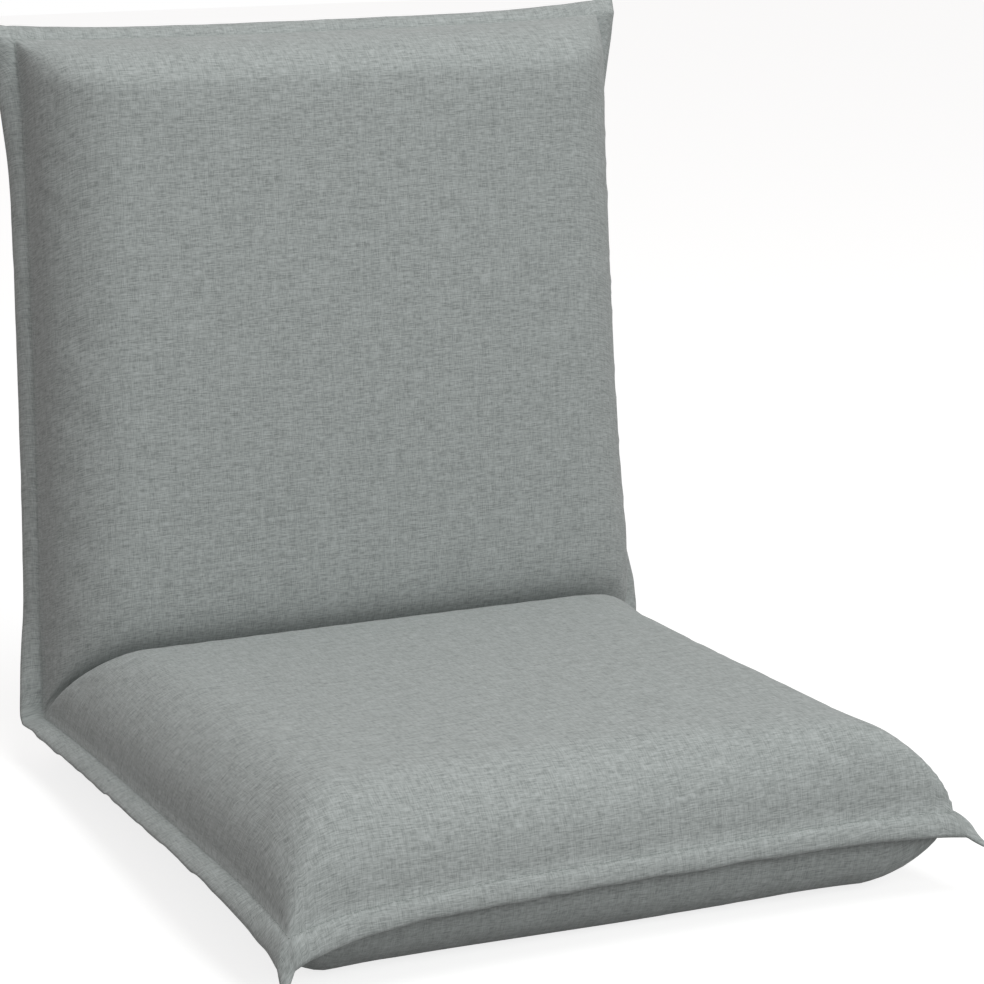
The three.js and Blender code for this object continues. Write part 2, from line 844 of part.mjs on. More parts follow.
function addHinge(seatGroup, backGroup, sideName) {
  const side = sides[sideName];
  const place = side * railX;
  const pivotHole = roundHole([0, 0], pivotRadius);
  const rivetHoles = tailRivets.map((spot) => roundHole(spot, smallRivetRadius));
  const seatHoles = [pivotHole, ...rivetHoles];
  const backHoles = [pivotHole, roundHole(pawlPin, pawlPinRadius)];
  const named = (name) => `${name}_${sideName}`;
  const at = (body, pad, [s, h]) => body.translate(place, pad.direction * s, h);

  addPiece(
    seatGroup,
    named("hinge_seat_arm"),
    armBody(seat, side, seatCheekIn, seatCheekOut, seatHoles),
    "zinc",
  );
  addPiece(seatGroup, named("ratchet_plate"), ratchetBody(side), "zinc");
  tailRivets.forEach((spot, i) => {
    const body = rivetBody(smallRivetRadius, smallHeadRadius, smallHead, seatCheekOut + clearance);
    addPiece(seatGroup, named(`ratchet_rivet_${i + 1}`), at(body, seat, spot), "zinc");
  });
  const pivot = rivetBody(pivotRadius, rivetHeadRadius, rivetHead - clearance, seatCheekOut + clearance);
  addPiece(seatGroup, named("pivot_rivet"), at(pivot, seat, [0, 0]), "zinc");
  addPiece(seatGroup, named("outer_pivot_washer"), washerBody(side, side), "zinc");
  addPiece(seatGroup, named("inner_pivot_washer"), washerBody(side, -side), "zinc");
  addPiece(
    backGroup,
    named("hinge_back_arm"),
    armBody(back, side, backCheekIn, backCheekOut, backHoles),
    "zinc",
  );
  addPiece(backGroup, named("pawl"), pawlBody(side), "zinc");
  addPiece(backGroup, named("pawl_pin"), at(pinBody(pawlPinRadius, backCheekOut), back, pawlPin), "zinc");
  addPiece(backGroup, named("pawl_spring"), springBody(side), "zinc");
  [
    [seat, seatGroup],
    [back, backGroup],
  ].forEach(([pad, group]) => {
    const rivet = rivetBody(smallRivetRadius, smallHeadRadius, smallHead, tubeRadius + clearance / 2);
    rivet.rotateY(Math.PI / 2).translate(place, pad.direction * tubeRivetPlace(), -tubeDrop);
    addPiece(group, named(`${pad.name}_tube_rivet`), rivet, "zinc");
  });
}

// Zip, on the rear of the back

function zipLevel(depth) {
  return -(underDepth - channelDepth) - clearance - depth;
}

function zipBlock(from, to, sFrom, sTo, depthFrom, depthTo) {
  return block(
    padPoint(back, from, zipPlace + sFrom, zipLevel(depthFrom)),
    padPoint(back, to, zipPlace + sTo, zipLevel(depthTo)),
  );
}

function coilBody() {
  const count = Math.round((2 * zipHalfLength) / coilPitch);
  const pitch = (2 * zipHalfLength) / count;
  const edge = (sign) =>
    Array.from({ length: 2 * count + 1 }, (_, i) => {
      const half = coilWidth / 2 - (i % 2 ? clearance / 2 : 0);
      return new THREE.Vector2(sign * ((i * pitch) / 2 - zipHalfLength), sign * half);
    });
  const geometry = new THREE.ExtrudeGeometry(new THREE.Shape([...edge(1), ...edge(-1)]), {
    depth: coilThickness,
    bevelEnabled: false,
  });
  return geometry.translate(0, zipPlace, zipLevel(coilThickness));
}

// The arch on the slider that the pull's eye hangs from.
function crownBody() {
  const foot = zipLevel(sliderTop - sliderThickness / 2);
  const axis = zipLevel(sliderTop + crownIn);
  const arc = (radius) =>
    Array.from({ length: crownSteps + 1 }, (_, i) => {
      const turn = (Math.PI * i) / crownSteps;
      return new THREE.Vector2(radius * Math.cos(turn), axis - radius * Math.sin(turn));
    });
  const shape = new THREE.Shape([
    new THREE.Vector2(crownOut, foot),
    ...arc(crownOut),
    new THREE.Vector2(-crownOut, foot),
    new THREE.Vector2(-crownIn, foot),
    ...arc(crownIn).reverse(),
    new THREE.Vector2(crownIn, foot),
  ]);
  const geometry = new THREE.ExtrudeGeometry(shape, { depth: crownWidth, bevelEnabled: false });
  geometry.rotateX(Math.PI / 2);
  return geometry.translate(sliderPlace, zipPlace + crownWidth / 2, 0);
}

function sliderBody() {
  const nose = sliderWidth / 4;
  const outline = new THREE.Shape([
    new THREE.Vector2(-sliderLength / 2, -sliderWidth / 2 + nose),
    new THREE.Vector2(-sliderLength / 2 + nose, -sliderWidth / 2),
    new THREE.Vector2(sliderLength / 2, -sliderWidth / 2 + nose),
    new THREE.Vector2(sliderLength / 2, sliderWidth / 2 - nose),
    new THREE.Vector2(-sliderLength / 2 + nose, sliderWidth / 2),
    new THREE.Vector2(-sliderLength / 2, sliderWidth / 2 - nose),
  ]);
  const plateBody = new THREE.ExtrudeGeometry(outline, { depth: sliderThickness, bevelEnabled: false });
  plateBody.translate(sliderPlace, zipPlace, zipLevel(sliderTop));
  return joined(plateBody, crownBody());
}

// The pull hangs by the bar of its eye, which lies in the crown.
function pullBody() {
  const half = pullWidth / 2;
  const far = pullLength - half * (1 + pullTaperShare);
  const shape = new THREE.Shape(link([-far, 0], half * pullTaperShare, [0, 0], half));
  shape.holes = [new THREE.Path(circle(pullHole, tubeSides))];
  const geometry = new THREE.ExtrudeGeometry(shape, { depth: pullThickness, bevelEnabled: false });
  const eye = sliderPlace - pullHole - pullBar / 2;
  return geometry.translate(eye, zipPlace, zipLevel(sliderTop + crownIn + pullThickness / 2));
}

function addZip(group) {
  const gap = coilWidth / 2 + clearance;
  const half = zipHalfLength + stopLength;
  addPiece(
    group,
    "zip_tape_upper",
    zipBlock(-half, half, gap, gap + tapeWidth, 0, tapeThickness),
    "zipCloth",
  );
  addPiece(
    group,
    "zip_tape_lower",
    zipBlock(-half, half, -gap - tapeWidth, -gap, 0, tapeThickness),
    "zipCloth",
  );
  addPiece(group, "zip_coil", coilBody(), "zipCoil");
  Object.entries(sides).forEach(([name, side]) => {
    const near = side * (zipHalfLength + clearance);
    const stop = zipBlock(near, side * half, -gap + clearance, gap - clearance, 0, coilThickness);
    addPiece(group, `zip_stop_${name}`, stop, "zinc");
  });
  addPiece(group, "zip_slider", sliderBody(), "zinc");
  addPiece(group, "zip_pull", pullBody(), "zinc");
}

// Cover cloth round the outside of the fold, between the two lower edges at the rest angle.
function foldSleeve() {
  const across = placesAcross(false);
  const margin = clearance / underDepth;
  const first = radians(restAngle + 90) + margin;
  const last = radians(270) - margin;
  const sheet = (depth) =>
    Array.from({ length: foldSteps + 1 }, (_, step) => {
      const turn = first + ((last - first) * step) / foldSteps;
      return across.map((x) => {
        const level = depthPoint(seat, -1, x, 0, depth);
        return new THREE.Vector3(level.x, -level.z * -Math.cos(turn), -level.z * Math.sin(turn));
      });
    }).flat();
  return bodyBetween(sheet(0), sheet(cloth), across.length);
}

// The whole chair
const chair = new THREE.Group();
const seatGroup = new THREE.Group();
const backGroup = new THREE.Group();
seatGroup.position.z = underDepth;
backGroup.position.z = underDepth;
backGroup.rotation.x = radians(180 - restAngle);

[
  [seat, seatGroup, "seat_underside_panel", "seat_foam_upper", "seat_foam_lower"],
  [back, backGroup, "back_rear_panel", "back_foam_front", "back_foam_rear"],
].forEach(([pad, group, underName, faceFoamName, underFoamName]) => {
  addPiece(group, `${pad.name}_face_panel`, panelBody(pad, 1), "cover");
  addPiece(group, underName, panelBody(pad, -1), "cover");
  addPiece(group, faceFoamName, cut(foamBody(pad, 1), hingeRoom(pad)), "foam");
  addPiece(group, underFoamName, cut(foamBody(pad, -1), frameRoom(pad)), "foam");
  addPiece(group, `${pad.name}_frame_tube`, frameTube(pad), "frame");
  addPiece(group, `${pad.name}_cross_tube`, crossTube(pad), "frame");
  strapPlaces(pad).forEach((place, i) => {
    addPiece(group, `${pad.name}_strap_${i + 1}`, strapBody(pad, place), "webbing");
  });
});
addPiece(seatGroup, "fold_sleeve", foldSleeve(), "cover");
Object.keys(sides).forEach((name) => addHinge(seatGroup, backGroup, name));
addZip(backGroup);

chair.add(seatGroup, backGroup);
chair.updateMatrixWorld(true);
const outline = new THREE.Box3().setFromObject(chair);
const middle = outline.getCenter(new THREE.Vector3());
[seatGroup, backGroup].forEach((group) => {
  group.position.y -= middle.y;
});

export default chair;
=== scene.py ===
# %% [markdown]
# A folding floor chair, dressed in its cloth.
#
# The chair is two padded panels in one sewn cover. Inside are bent steel tubes, elastic
# straps and two ratchet hinges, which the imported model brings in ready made. This script
# builds what the eye meets: the cover with its flat flange, its stitching and its zip.
# Everything is in metres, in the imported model's own frame, so nothing has to be fitted.

import json
import math

import bpy
import numpy as np
from mathutils import Matrix, Vector


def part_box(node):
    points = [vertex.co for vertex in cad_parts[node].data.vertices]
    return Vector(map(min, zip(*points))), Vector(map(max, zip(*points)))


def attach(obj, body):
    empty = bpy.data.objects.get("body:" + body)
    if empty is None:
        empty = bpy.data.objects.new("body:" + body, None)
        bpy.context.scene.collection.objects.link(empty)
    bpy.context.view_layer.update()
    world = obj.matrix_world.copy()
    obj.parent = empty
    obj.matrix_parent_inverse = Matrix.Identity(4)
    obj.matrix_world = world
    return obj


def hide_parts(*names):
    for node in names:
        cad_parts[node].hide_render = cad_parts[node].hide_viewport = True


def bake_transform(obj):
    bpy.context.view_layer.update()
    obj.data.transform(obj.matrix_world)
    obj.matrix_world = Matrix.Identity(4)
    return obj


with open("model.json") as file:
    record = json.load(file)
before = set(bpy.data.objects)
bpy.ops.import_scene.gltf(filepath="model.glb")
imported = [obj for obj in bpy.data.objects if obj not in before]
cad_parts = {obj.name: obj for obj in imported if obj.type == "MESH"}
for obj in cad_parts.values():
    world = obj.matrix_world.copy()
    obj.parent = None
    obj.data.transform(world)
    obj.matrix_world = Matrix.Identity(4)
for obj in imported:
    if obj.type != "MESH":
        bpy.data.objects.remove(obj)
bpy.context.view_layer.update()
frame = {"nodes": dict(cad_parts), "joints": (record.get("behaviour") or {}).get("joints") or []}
nodes = frame["nodes"]
fold_joint = next(joint for joint in frame["joints"] if joint["name"] == "back_fold")
HINGE_Y, HINGE_Z = fold_joint["pos_m"][1], fold_joint["pos_m"][2]
MM = 0.001
print("packed nodes:", len(nodes), "hinge at", round(HINGE_Y, 4), round(HINGE_Z, 4))

# %% [markdown]
# A few small helpers serve every material. One turns a colour as a paint chart gives it
# into the linear values that the renderer works in. One starts a material. One adds a
# node with its settings, and links whatever sockets it is given. One tells the rays that
# the camera sends out from those that only carry light. The last two pick objects.

# %% Helpers for materials
def linear(hex_code):
    channels = [int(hex_code[i : i + 2], 16) / 255 for i in (1, 3, 5)]
    return [c / 12.92 if c <= 0.04045 else ((c + 0.055) / 1.055) ** 2.4 for c in channels] + [1]


def add_node(tree, kind, links=None, **settings):
    made = tree.nodes.new(kind)
    for name, value in settings.items():
        setattr(made, name, value)
    for socket, source in (links or {}).items():
        if isinstance(source, bpy.types.NodeSocket):
            tree.links.new(source, made.inputs[socket])
        else:
            made.inputs[socket].default_value = source
    return made


def new_material(name):
    material = bpy.data.materials.new(name)
    material.use_nodes = True
    tree = material.node_tree
    return material, tree, tree.nodes["Principled BSDF"]


def eye_rays(tree):
    """1 for rays that the camera sends out, also mirrored or through something clear."""
    path = add_node(tree, "ShaderNodeLightPath").outputs
    direct = add_node(
        tree,
        "ShaderNodeMath",
        {0: path["Is Camera Ray"], 1: path["Is Glossy Ray"]},
        operation="ADD",
    )
    either = add_node(
        tree,
        "ShaderNodeMath",
        {0: direct.outputs[0], 1: path["Is Transmission Ray"]},
        operation="ADD",
        use_clamp=True,
    )
    return either.outputs[0]


def deselect_all():
    bpy.ops.object.select_all(action="DESELECT")


def activate(obj):
    deselect_all()
    obj.select_set(True)
    bpy.context.view_layer.objects.active = obj


# %% [markdown]
# The camera stands where the photographer stood, a little to the chair's right and just
# above it, with a long lens, so that the sides hardly converge.

# %% Camera
CAMERA_AZIMUTH = math.radians(-23.32)
CAMERA_ELEVATION = math.radians(14.58)
CAMERA_DISTANCE = 2.3016
LENS_PIXELS = 2944
IMAGE_PIXELS = 984
aim = Vector((0.1288, HINGE_Y, HINGE_Z + 0.136))
towards = Vector(
    (
        math.sin(CAMERA_AZIMUTH) * math.cos(CAMERA_ELEVATION),
        -math.cos(CAMERA_AZIMUTH) * math.cos(CAMERA_ELEVATION),
        math.sin(CAMERA_ELEVATION),
    )
)
camera_data = bpy.data.cameras.new("camera")
camera_data.sensor_width = 36
camera_data.lens = LENS_PIXELS / IMAGE_PIXELS * camera_data.sensor_width
camera = bpy.data.objects.new("camera", camera_data)
camera.location = aim + towards * CAMERA_DISTANCE
camera.rotation_euler = towards.to_track_quat("Z", "Y").to_euler()
bpy.context.scene.collection.objects.link(camera)
bpy.context.scene.camera = camera

# %% [markdown]
# Studio light: two wide soft lamps in front of the chair, one at eye height on the
# sitter's left and one high above, and an even pale room round them. The chair's right
# side faces away from both and falls to about half the brightness, which is what shows
# the pads' thickness. Two lamps and not one, because the seat looks up and the back looks
# forward, and each needs a lamp of its own. What the camera sees beyond the floor is
# white, and that white lights nothing.

# %% Light
scene = bpy.context.scene
scene.view_settings.view_transform = "Standard"
ROOM_LIGHT = 0.42
LAMP_AIM = Vector((0, 0, 0.2))

world = bpy.data.worlds.new("studio")
world.use_nodes = True
scene.world = world
tree = world.node_tree
tree.nodes.clear()
seen = eye_rays(tree)
room = add_node(tree, "ShaderNodeBackground", {"Color": linear("#FFF8F6"), "Strength": ROOM_LIGHT})
white = add_node(tree, "ShaderNodeBackground", {"Color": linear("#FFFFFF"), "Strength": 1.0})
mixed = add_node(tree, "ShaderNodeMixShader", {0: seen, 1: room.outputs[0], 2: white.outputs[0]})
add_node(tree, "ShaderNodeOutputWorld", {"Surface": mixed.outputs[0]})


def add_lamp(name, place, size, power, colour):
    data = bpy.data.lights.new(name, "AREA")
    data.shape = "DISK"
    data.size = size
    data.energy = power
    data.color = linear(colour)[:3]
    lamp = bpy.data.objects.new(name, data)
    lamp.location = place
    lamp.rotation_euler = (Vector(place) - LAMP_AIM).to_track_quat("Z", "Y").to_euler()
    scene.collection.objects.link(lamp)


add_lamp("key_lamp", (0.55, -2.55, 1.90), 1.6, 27, "#FAFFFD")
add_lamp("top_lamp", (0.25, -1.00, 3.10), 1.6, 39, "#FAFFFD")

# %% [markdown]
# The floor is a plain pale sheet. Towards the camera it adds just enough of its own
# brightness to reach white where the lamp falls on it, so only the chair's shadow is left.

# %% Floor
FLOOR_GLOW = 0.80
bpy.ops.mesh.primitive_plane_add(size=12, location=(0, 0, 0))
floor = bpy.context.object
floor.name = "floor"
bpy.ops.object.transform_apply(location=True, rotation=True, scale=True)
floor_material, tree, shader = new_material("matt_white_paper")
tree.nodes.clear()
seen = eye_rays(tree)
glow = add_node(tree, "ShaderNodeMath", {0: seen, 1: FLOOR_GLOW}, operation="MULTIPLY")
paper = add_node(tree, "ShaderNodeBsdfDiffuse", {"Color": linear("#A0A0A0")})
shine = add_node(tree, "ShaderNodeEmission", {"Color": linear("#FFFFFF"), "Strength": glow.outputs[0]})
both = add_node(tree, "ShaderNodeAddShader", {0: paper.outputs[0], 1: shine.outputs[0]})
add_node(tree, "ShaderNodeOutputMaterial", {"Surface": both.outputs[0]})
floor.data.materials.append(floor_material)

# %% [markdown]
# The cover's shape. Each pad is drawn flat first: x runs across, s runs from the fold to
# the free end, and h up through the thickness. The two cloth sheets meet in a flat flange,
# 15 mm wide, and swell from the stitched line to the pad's full depth over a shoulder.
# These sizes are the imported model's own.

# %% Sizes of the cover
HALF_WIDTH = 240 * MM
FLANGE = 15 * MM
SEAM = HALF_WIDTH - FLANGE
PAD_LENGTH = {"seat": 495 * MM, "back": 512 * MM}
REST_ANGLE = math.radians(93.7)
TURN = math.pi - REST_ANGLE
FACE_HEIGHT = 65 * MM
UNDER_DEPTH = 36 * MM
RISE = {"seat": 25 * MM, "back": 0.0}
WAIST = 5.5 * MM
SHOULDER = 56 * MM
UNDER_SHOULDER = 44 * MM
CROWN = 4 * MM
SWELL_SHARE = 0.5
FOLD_GAP = 2 * MM
CREASE_DEPTH = 55 * MM
CREASE_TUCK = 0.35
TUCK_REACH = 5 * MM
CREASE_REACH = 90 * MM
CREASE_SHARPNESS = {"seat": 9, "back": 7}
CREASE_GAP = {"seat": 3.0 * MM, "back": 4.6 * MM}
CORNER_SHARPNESS = 5
FULL_CORNER_SHARE = 0.75
FOLD_BEND = 34 * MM
HINGE_LEAN = 10
SIDE_LEAN = {"seat": 22, "back": 55}
END_LEAN = {"seat": 72, "back": 60}
CORNER_LEAN = {"seat": 36, "back": -42}
CORNER_LEAN_REACH = 120 * MM
CORNER_BLUNT = 0.16
# How much wider than drawn each pad swells on the sitter's left and right.
WIDER = {"seat": (-6.0 * MM, -0.4 * MM), "back": (5.0 * MM, 2.6 * MM)}
SHORTER = {"seat": 0.0, "back": 2.5 * MM}
# How much shorter the shoulder is at each free end: everywhere, and more on the sitter's
# left.
FULLER = {"seat": (-0.12, 0.50), "back": (0.36, 0.0)}
FULLER_UNDER = {"seat": (0.15, 0.33), "back": (0.0, 0.0)}
FULL_CORNER_REACH = 180 * MM
LEAN_BEND = 1.6 * MM
EAR_REACH = 40 * MM
DROOP_REACH = 42 * MM
EAR_FLARE = {"seat": 14 * MM, "back": 9 * MM}
EAR_DROOP = {"seat": 20 * MM, "back": 0.0}
SKEW = {"seat": 17 * MM, "back": 0.0}
HINGE_ROUND = 11 * MM
# How far the flange stands out beside the hinge on the sitter's left and right, and how
# much of that the fold itself draws in again.
HINGE_FLARE = {"seat": (17.5 * MM, 7.0 * MM), "back": (28 * MM, 7.0 * MM)}
HINGE_DRAW = {"seat": (0.92, 0.0), "back": (0.95, 0.0)}
HINGE_REACH = 75 * MM
HINGE_DRAW_REACH = 25 * MM
PULL_REACH = 60 * MM
# How far each free corner is pulled across, along and up, as this one chair lies.
CORNER_PULL = {
    ("seat", 1): np.array([20, 3, 14]) * MM,
    ("seat", -1): np.array([19, 3, -3]) * MM,
    ("back", 1): np.array([1, 2, 0]) * MM,
    ("back", -1): np.array([-2, 0, 0]) * MM,
}
LOWEST = 1.5 * MM
ZIP_PLACE = 58 * MM
CHANNEL_DEPTH = 6 * MM
CHANNEL_FLAT = 9 * MM
CHANNEL_HALF = 17 * MM

# Half the flange's thickness at places in from its edge: plump in the middle, and
# pulled down to a groove by the stitching.
LIP_PLACES = np.array([0, 1.5, 4, 7, 10, 12.5, 14.2, 16]) * MM
LIP_HALVES = np.array([1.1, 1.9, 2.6, 2.9, 2.7, 2.0, 0.6, 0.9]) * MM


def swell(distance, shoulder):
    share = np.clip(distance / shoulder, 0, 1)
    return (1 - (1 - share) ** 2) ** SWELL_SHARE


def lesser(a, b, sharpness):
    """The lesser of two heights, rounded over where they meet."""
    a, b = np.maximum(a, 1e-4), np.maximum(b, 1e-4)
    return (a ** -float(sharpness) + b ** -float(sharpness)) ** (-1 / sharpness)


def smooth_share(value, start, end):
    share = np.clip((value - start) / (end - start), 0, 1)
    return share * share * (3 - 2 * share)


ALONG = {"seat": (-1.0, 0.0), "back": (math.cos(TURN), math.sin(TURN))}
THROUGH = {"seat": (0.0, 1.0), "back": (-math.sin(TURN), math.cos(TURN))}


def to_world(pad, x, along, height):
    """World points of a pad's own places: along runs from the fold, height through it.
    The flange runs round the corner at the hinge in one piece, so it cuts that corner."""
    own, other = ALONG[pad], ALONG["back" if pad == "seat" else "seat"]
    turn = np.clip((HINGE_ROUND - along) / (2 * HINGE_ROUND), 0, 1)
    share = smooth_share(np.abs(x), SEAM - FLANGE, SEAM) * (along < HINGE_ROUND)
    less = share * (HINGE_ROUND * (1 - turn) ** 2 - along)
    across = share * HINGE_ROUND * turn**2
    y = HINGE_Y + (along + less) * own[0] + across * other[0] + height * THROUGH[pad][0]
    z = HINGE_Z + (along + less) * own[1] + across * other[1] + height * THROUGH[pad][1]
    return np.stack([x, y, z], axis=-1)


dice = np.random.default_rng(7)
WAVE_STEP = 12 * MM
WAVE_COUNT = 160
waves = {
    (pad, edge): dice.normal(size=WAVE_COUNT)
    for pad in ("seat", "back")
    for edge in ("left", "right", "end", "plump")
}


def wave(values, place):
    """A smooth wandering line through random values, one every few millimetres."""
    share = (place / WAVE_STEP) % len(values)
    low = np.floor(share).astype(int)
    blend = share - low
    blend = blend * blend * (3 - 2 * blend)
    return values[low % len(values)] * (1 - blend) + values[(low + 1) % len(values)] * blend


# How far the flange's free edge wanders out of its own plane, and how much its
# fullness varies: the sewn edge draws the cloth up into small waves.
EDGE_WAVE = {"seat": 0.7 * MM, "back": 0.5 * MM}
FULLNESS_WAVE = 0.10
END_WAVE_SHARE = 0.6


def edge_wave(pad, x, s):
    length = PAD_LENGTH[pad]
    side_line = np.where(x > 0, wave(waves[pad, "left"], s), wave(waves[pad, "right"], s))
    on_side = np.clip((np.abs(x) - SEAM) / FLANGE, 0, 1)
    on_end = np.clip((s - length + FLANGE) / FLANGE, 0, 1)
    end_line = wave(waves[pad, "end"], x + HALF_WIDTH)
    return EDGE_WAVE[pad] * (on_side**1.5 * side_line + on_end**1.5 * END_WAVE_SHARE * end_line)


def fullness(pad, x, s):
    place = np.where(np.abs(x) > SEAM, s, x + HALF_WIDTH)
    on_flange = np.clip((np.maximum(np.abs(x) - SEAM, s - PAD_LENGTH[pad] + FLANGE)) / (4 * MM), 0, 1)
    return 1 + FULLNESS_WAVE * on_flange * wave(waves[pad, "plump"], place)


def pad_terms(pad, x, s, start, shoulder, fuller):
    """What both sheets of a pad share: the seam's place, the flange's lean, the swelling."""
    length = PAD_LENGTH[pad]
    past_side, past_end = np.abs(x) - SEAM, s - (length - FLANGE)
    over_side, over_end = np.maximum(past_side, 0), np.maximum(past_end, 0)
    blunted = 1 - CORNER_BLUNT * over_side * over_end / FLANGE**2
    over_side, over_end = over_side * blunted, over_end * blunted
    side_swell, end_swell = swell(-past_side, shoulder), swell(-past_end, shoulder * (1 - fuller))
    near_end = smooth_share(s, length - FULL_CORNER_REACH, length)
    full_corner = (pad == "seat") * smooth_share(x, 0, SEAM) * near_end
    swelling = side_swell * end_swell
    filled = lesser(side_swell, end_swell, CORNER_SHARPNESS)
    swelling = swelling + FULL_CORNER_SHARE * full_corner * (filled - swelling)
    start = start * side_swell + FOLD_GAP
    along = start + (s - over_end) * (1 - (start + SHORTER[pad]) / length)
    level = RISE[pad] * along / length
    lean = HINGE_LEAN + (SIDE_LEAN[pad] - HINGE_LEAN) * smooth_share(s, 0, CREASE_REACH)
    lean = lean + CORNER_LEAN[pad] * smooth_share(s, length - CORNER_LEAN_REACH, length)
    lean_side, lean_end = np.radians(lean), math.radians(END_LEAN[pad])
    edge = HALF_WIDTH - np.abs(x) + length - s
    sag = EAR_DROOP[pad] * np.exp(-edge / DROOP_REACH) * (1 - side_swell * end_swell)
    ear = EAR_FLARE[pad] * np.exp(-edge / EAR_REACH)
    width = 1 + WAIST * (1 - 2 * s / length) / HALF_WIDTH
    at_hinge = np.where(x > 0, *HINGE_FLARE[pad]) * np.exp(-s / HINGE_REACH)
    at_hinge = at_hinge * (1 - np.where(x > 0, *HINGE_DRAW[pad]) * np.exp(-s / HINGE_DRAW_REACH))
    flare = ear + at_hinge * (x / HALF_WIDTH) ** 4
    skew = SKEW[pad] * (s / length) ** 2 * (1 + x / HALF_WIDTH) / 2
    out = np.sign(x)
    pull = [
        np.exp(-edge / PULL_REACH) * np.where(x > 0, CORNER_PULL[pad, 1][k], CORNER_PULL[pad, -1][k])
        for k in range(3)
    ]
    tilt_side = lean_side * np.clip((past_side / LEAN_BEND + 1) / 2, 0, 1)
    tilt_end = lean_end * np.clip((past_end / LEAN_BEND + 1) / 2, 0, 1)
    wider = 1 + np.where(x > 0, *WIDER[pad]) / SEAM * smooth_share(s, 0, CREASE_REACH)
    inside = width * (x - out * over_side) * wider
    lip = np.interp(np.minimum(HALF_WIDTH - np.abs(x), length - s), LIP_PLACES, LIP_HALVES)
    return {
        "x": inside + out * (over_side * np.cos(lean_side) + flare) + skew + pull[0],
        "along": along + over_end * math.cos(lean_end) + ear + pull[1],
        "level": level
        - over_side * np.sin(lean_side)
        - over_end * math.sin(lean_end)
        - sag
        + pull[2] * (1 - side_swell * end_swell)
        + edge_wave(pad, x, s),
        "seam_level": level,
        "swelling": swelling,
        "lip": lip * fullness(pad, x, s),
        "facing": (
            out * np.sin(tilt_side) * np.cos(tilt_end),
            np.cos(tilt_side) * np.sin(tilt_end),
            np.cos(tilt_side) * np.cos(tilt_end),
        ),
    }


def face_points(pad, x, s):
    tucked = CREASE_DEPTH * (1 - CREASE_TUCK * np.exp(-s / TUCK_REACH))
    fuller = FULLER[pad][0] + FULLER[pad][1] * smooth_share(x, 0, SEAM)
    terms = pad_terms(pad, x, s, tucked, SHOULDER, fuller)
    length, lip = PAD_LENGTH[pad], terms["lip"]
    crown = CROWN * (1 - (x / HALF_WIDTH) ** 2) * np.sin(math.pi * s / length)
    room = terms["along"] * (math.tan(REST_ANGLE / 2) - RISE[pad] / length) - lip - CREASE_GAP[pad]
    height = lesser((FACE_HEIGHT + crown) * terms["swelling"], room, CREASE_SHARPNESS[pad])
    side, end, up = terms["facing"]
    level = terms["level"] + height + up * lip
    out = to_world(pad, terms["x"] + side * lip, terms["along"] + end * lip, level)
    out[..., 2] = np.maximum(out[..., 2], LOWEST)
    return out


def under_points(x, q):
    """The sheet beneath and behind: q runs from the seat's free end through 0 to the back's."""
    angle = TURN * smooth_share(q, -FOLD_BEND, FOLD_BEND)
    normal = np.stack([np.zeros_like(x), np.sin(angle), -np.cos(angle)], axis=-1)
    out = np.zeros(x.shape + (3,))
    for pad, chosen in (("seat", q < 0), ("back", q >= 0)):
        s = np.abs(q)
        fuller = FULLER_UNDER[pad][0] + FULLER_UNDER[pad][1] * x / SEAM
        terms = pad_terms(pad, x, s, 0, UNDER_SHOULDER, fuller)
        channel = 0
        if pad == "back":
            offset = np.abs(s - ZIP_PLACE)
            slope = np.clip((offset - CHANNEL_FLAT) / (CHANNEL_HALF - CHANNEL_FLAT), 0, 1)
            channel = CHANNEL_DEPTH * (1 - slope)
        lip = terms["lip"]
        side, end, up = terms["facing"]
        depth = UNDER_DEPTH + terms["seam_level"] - lip - channel
        base = to_world(pad, terms["x"] - side * lip, terms["along"] - end * lip - FOLD_GAP, terms["level"])
        height = depth * terms["swelling"] + up * lip
        out[chosen] = (base + normal * height[..., None])[chosen]
    out[..., 2] = np.maximum(out[..., 2], 0)
    return out


# %% [markdown]
# The grid. Both sheets get the same rows and columns, close together at the flange and
# at the crease where the cloth bends sharply, and wider over the flat middle. Equal
# counts let the sheets be joined round the rim, quad by quad.

# %% Rows and columns
GROOVE_STEP = 14.2
EDGE_STEPS = [0, 1.5, 4, 7, 10, 12.5, GROOVE_STEP, 15.4, 16.6, 18.2, 20.2, 22.6, 25.5, 29]
EDGE_STEPS = np.array(EDGE_STEPS + [33, 37.5, 42.5, 48, 54.5, 62]) * MM
FOLD_STEPS = np.array([1.5, 3.2, 5.2, 7.5, 10.5, 14, 18, 22.5, 27.5, 33, 39, 45, 51]) * MM
OPEN_STEP = 6 * MM


def even_steps(start, end):
    count = max(1, round((end - start) / OPEN_STEP))
    return np.linspace(start, end, count + 1)[1:-1]


half_columns = np.concatenate([EDGE_STEPS, even_steps(EDGE_STEPS[-1], HALF_WIDTH)])
columns = np.concatenate([half_columns - HALF_WIDTH, [0], (HALF_WIDTH - half_columns)[::-1]])


def rows_of(pad):
    free_end = PAD_LENGTH[pad] - EDGE_STEPS[::-1]
    return np.concatenate([FOLD_STEPS, even_steps(FOLD_STEPS[-1], free_end[0]), free_end])


rows = np.concatenate([-rows_of("seat")[::-1], [0], rows_of("back")])
fold_row = len(rows_of("seat"))
X, Q = np.meshgrid(columns, rows)
print("cover grid:", len(rows), "rows by", len(columns), "columns")

# %% [markdown]
# The cloth is one closed skin: a face sheet, a sheet beneath and behind, and a rolled rim
# between them. At the fold the seat's own place and the back's own place are averaged,
# so the crease runs down the exact middle.

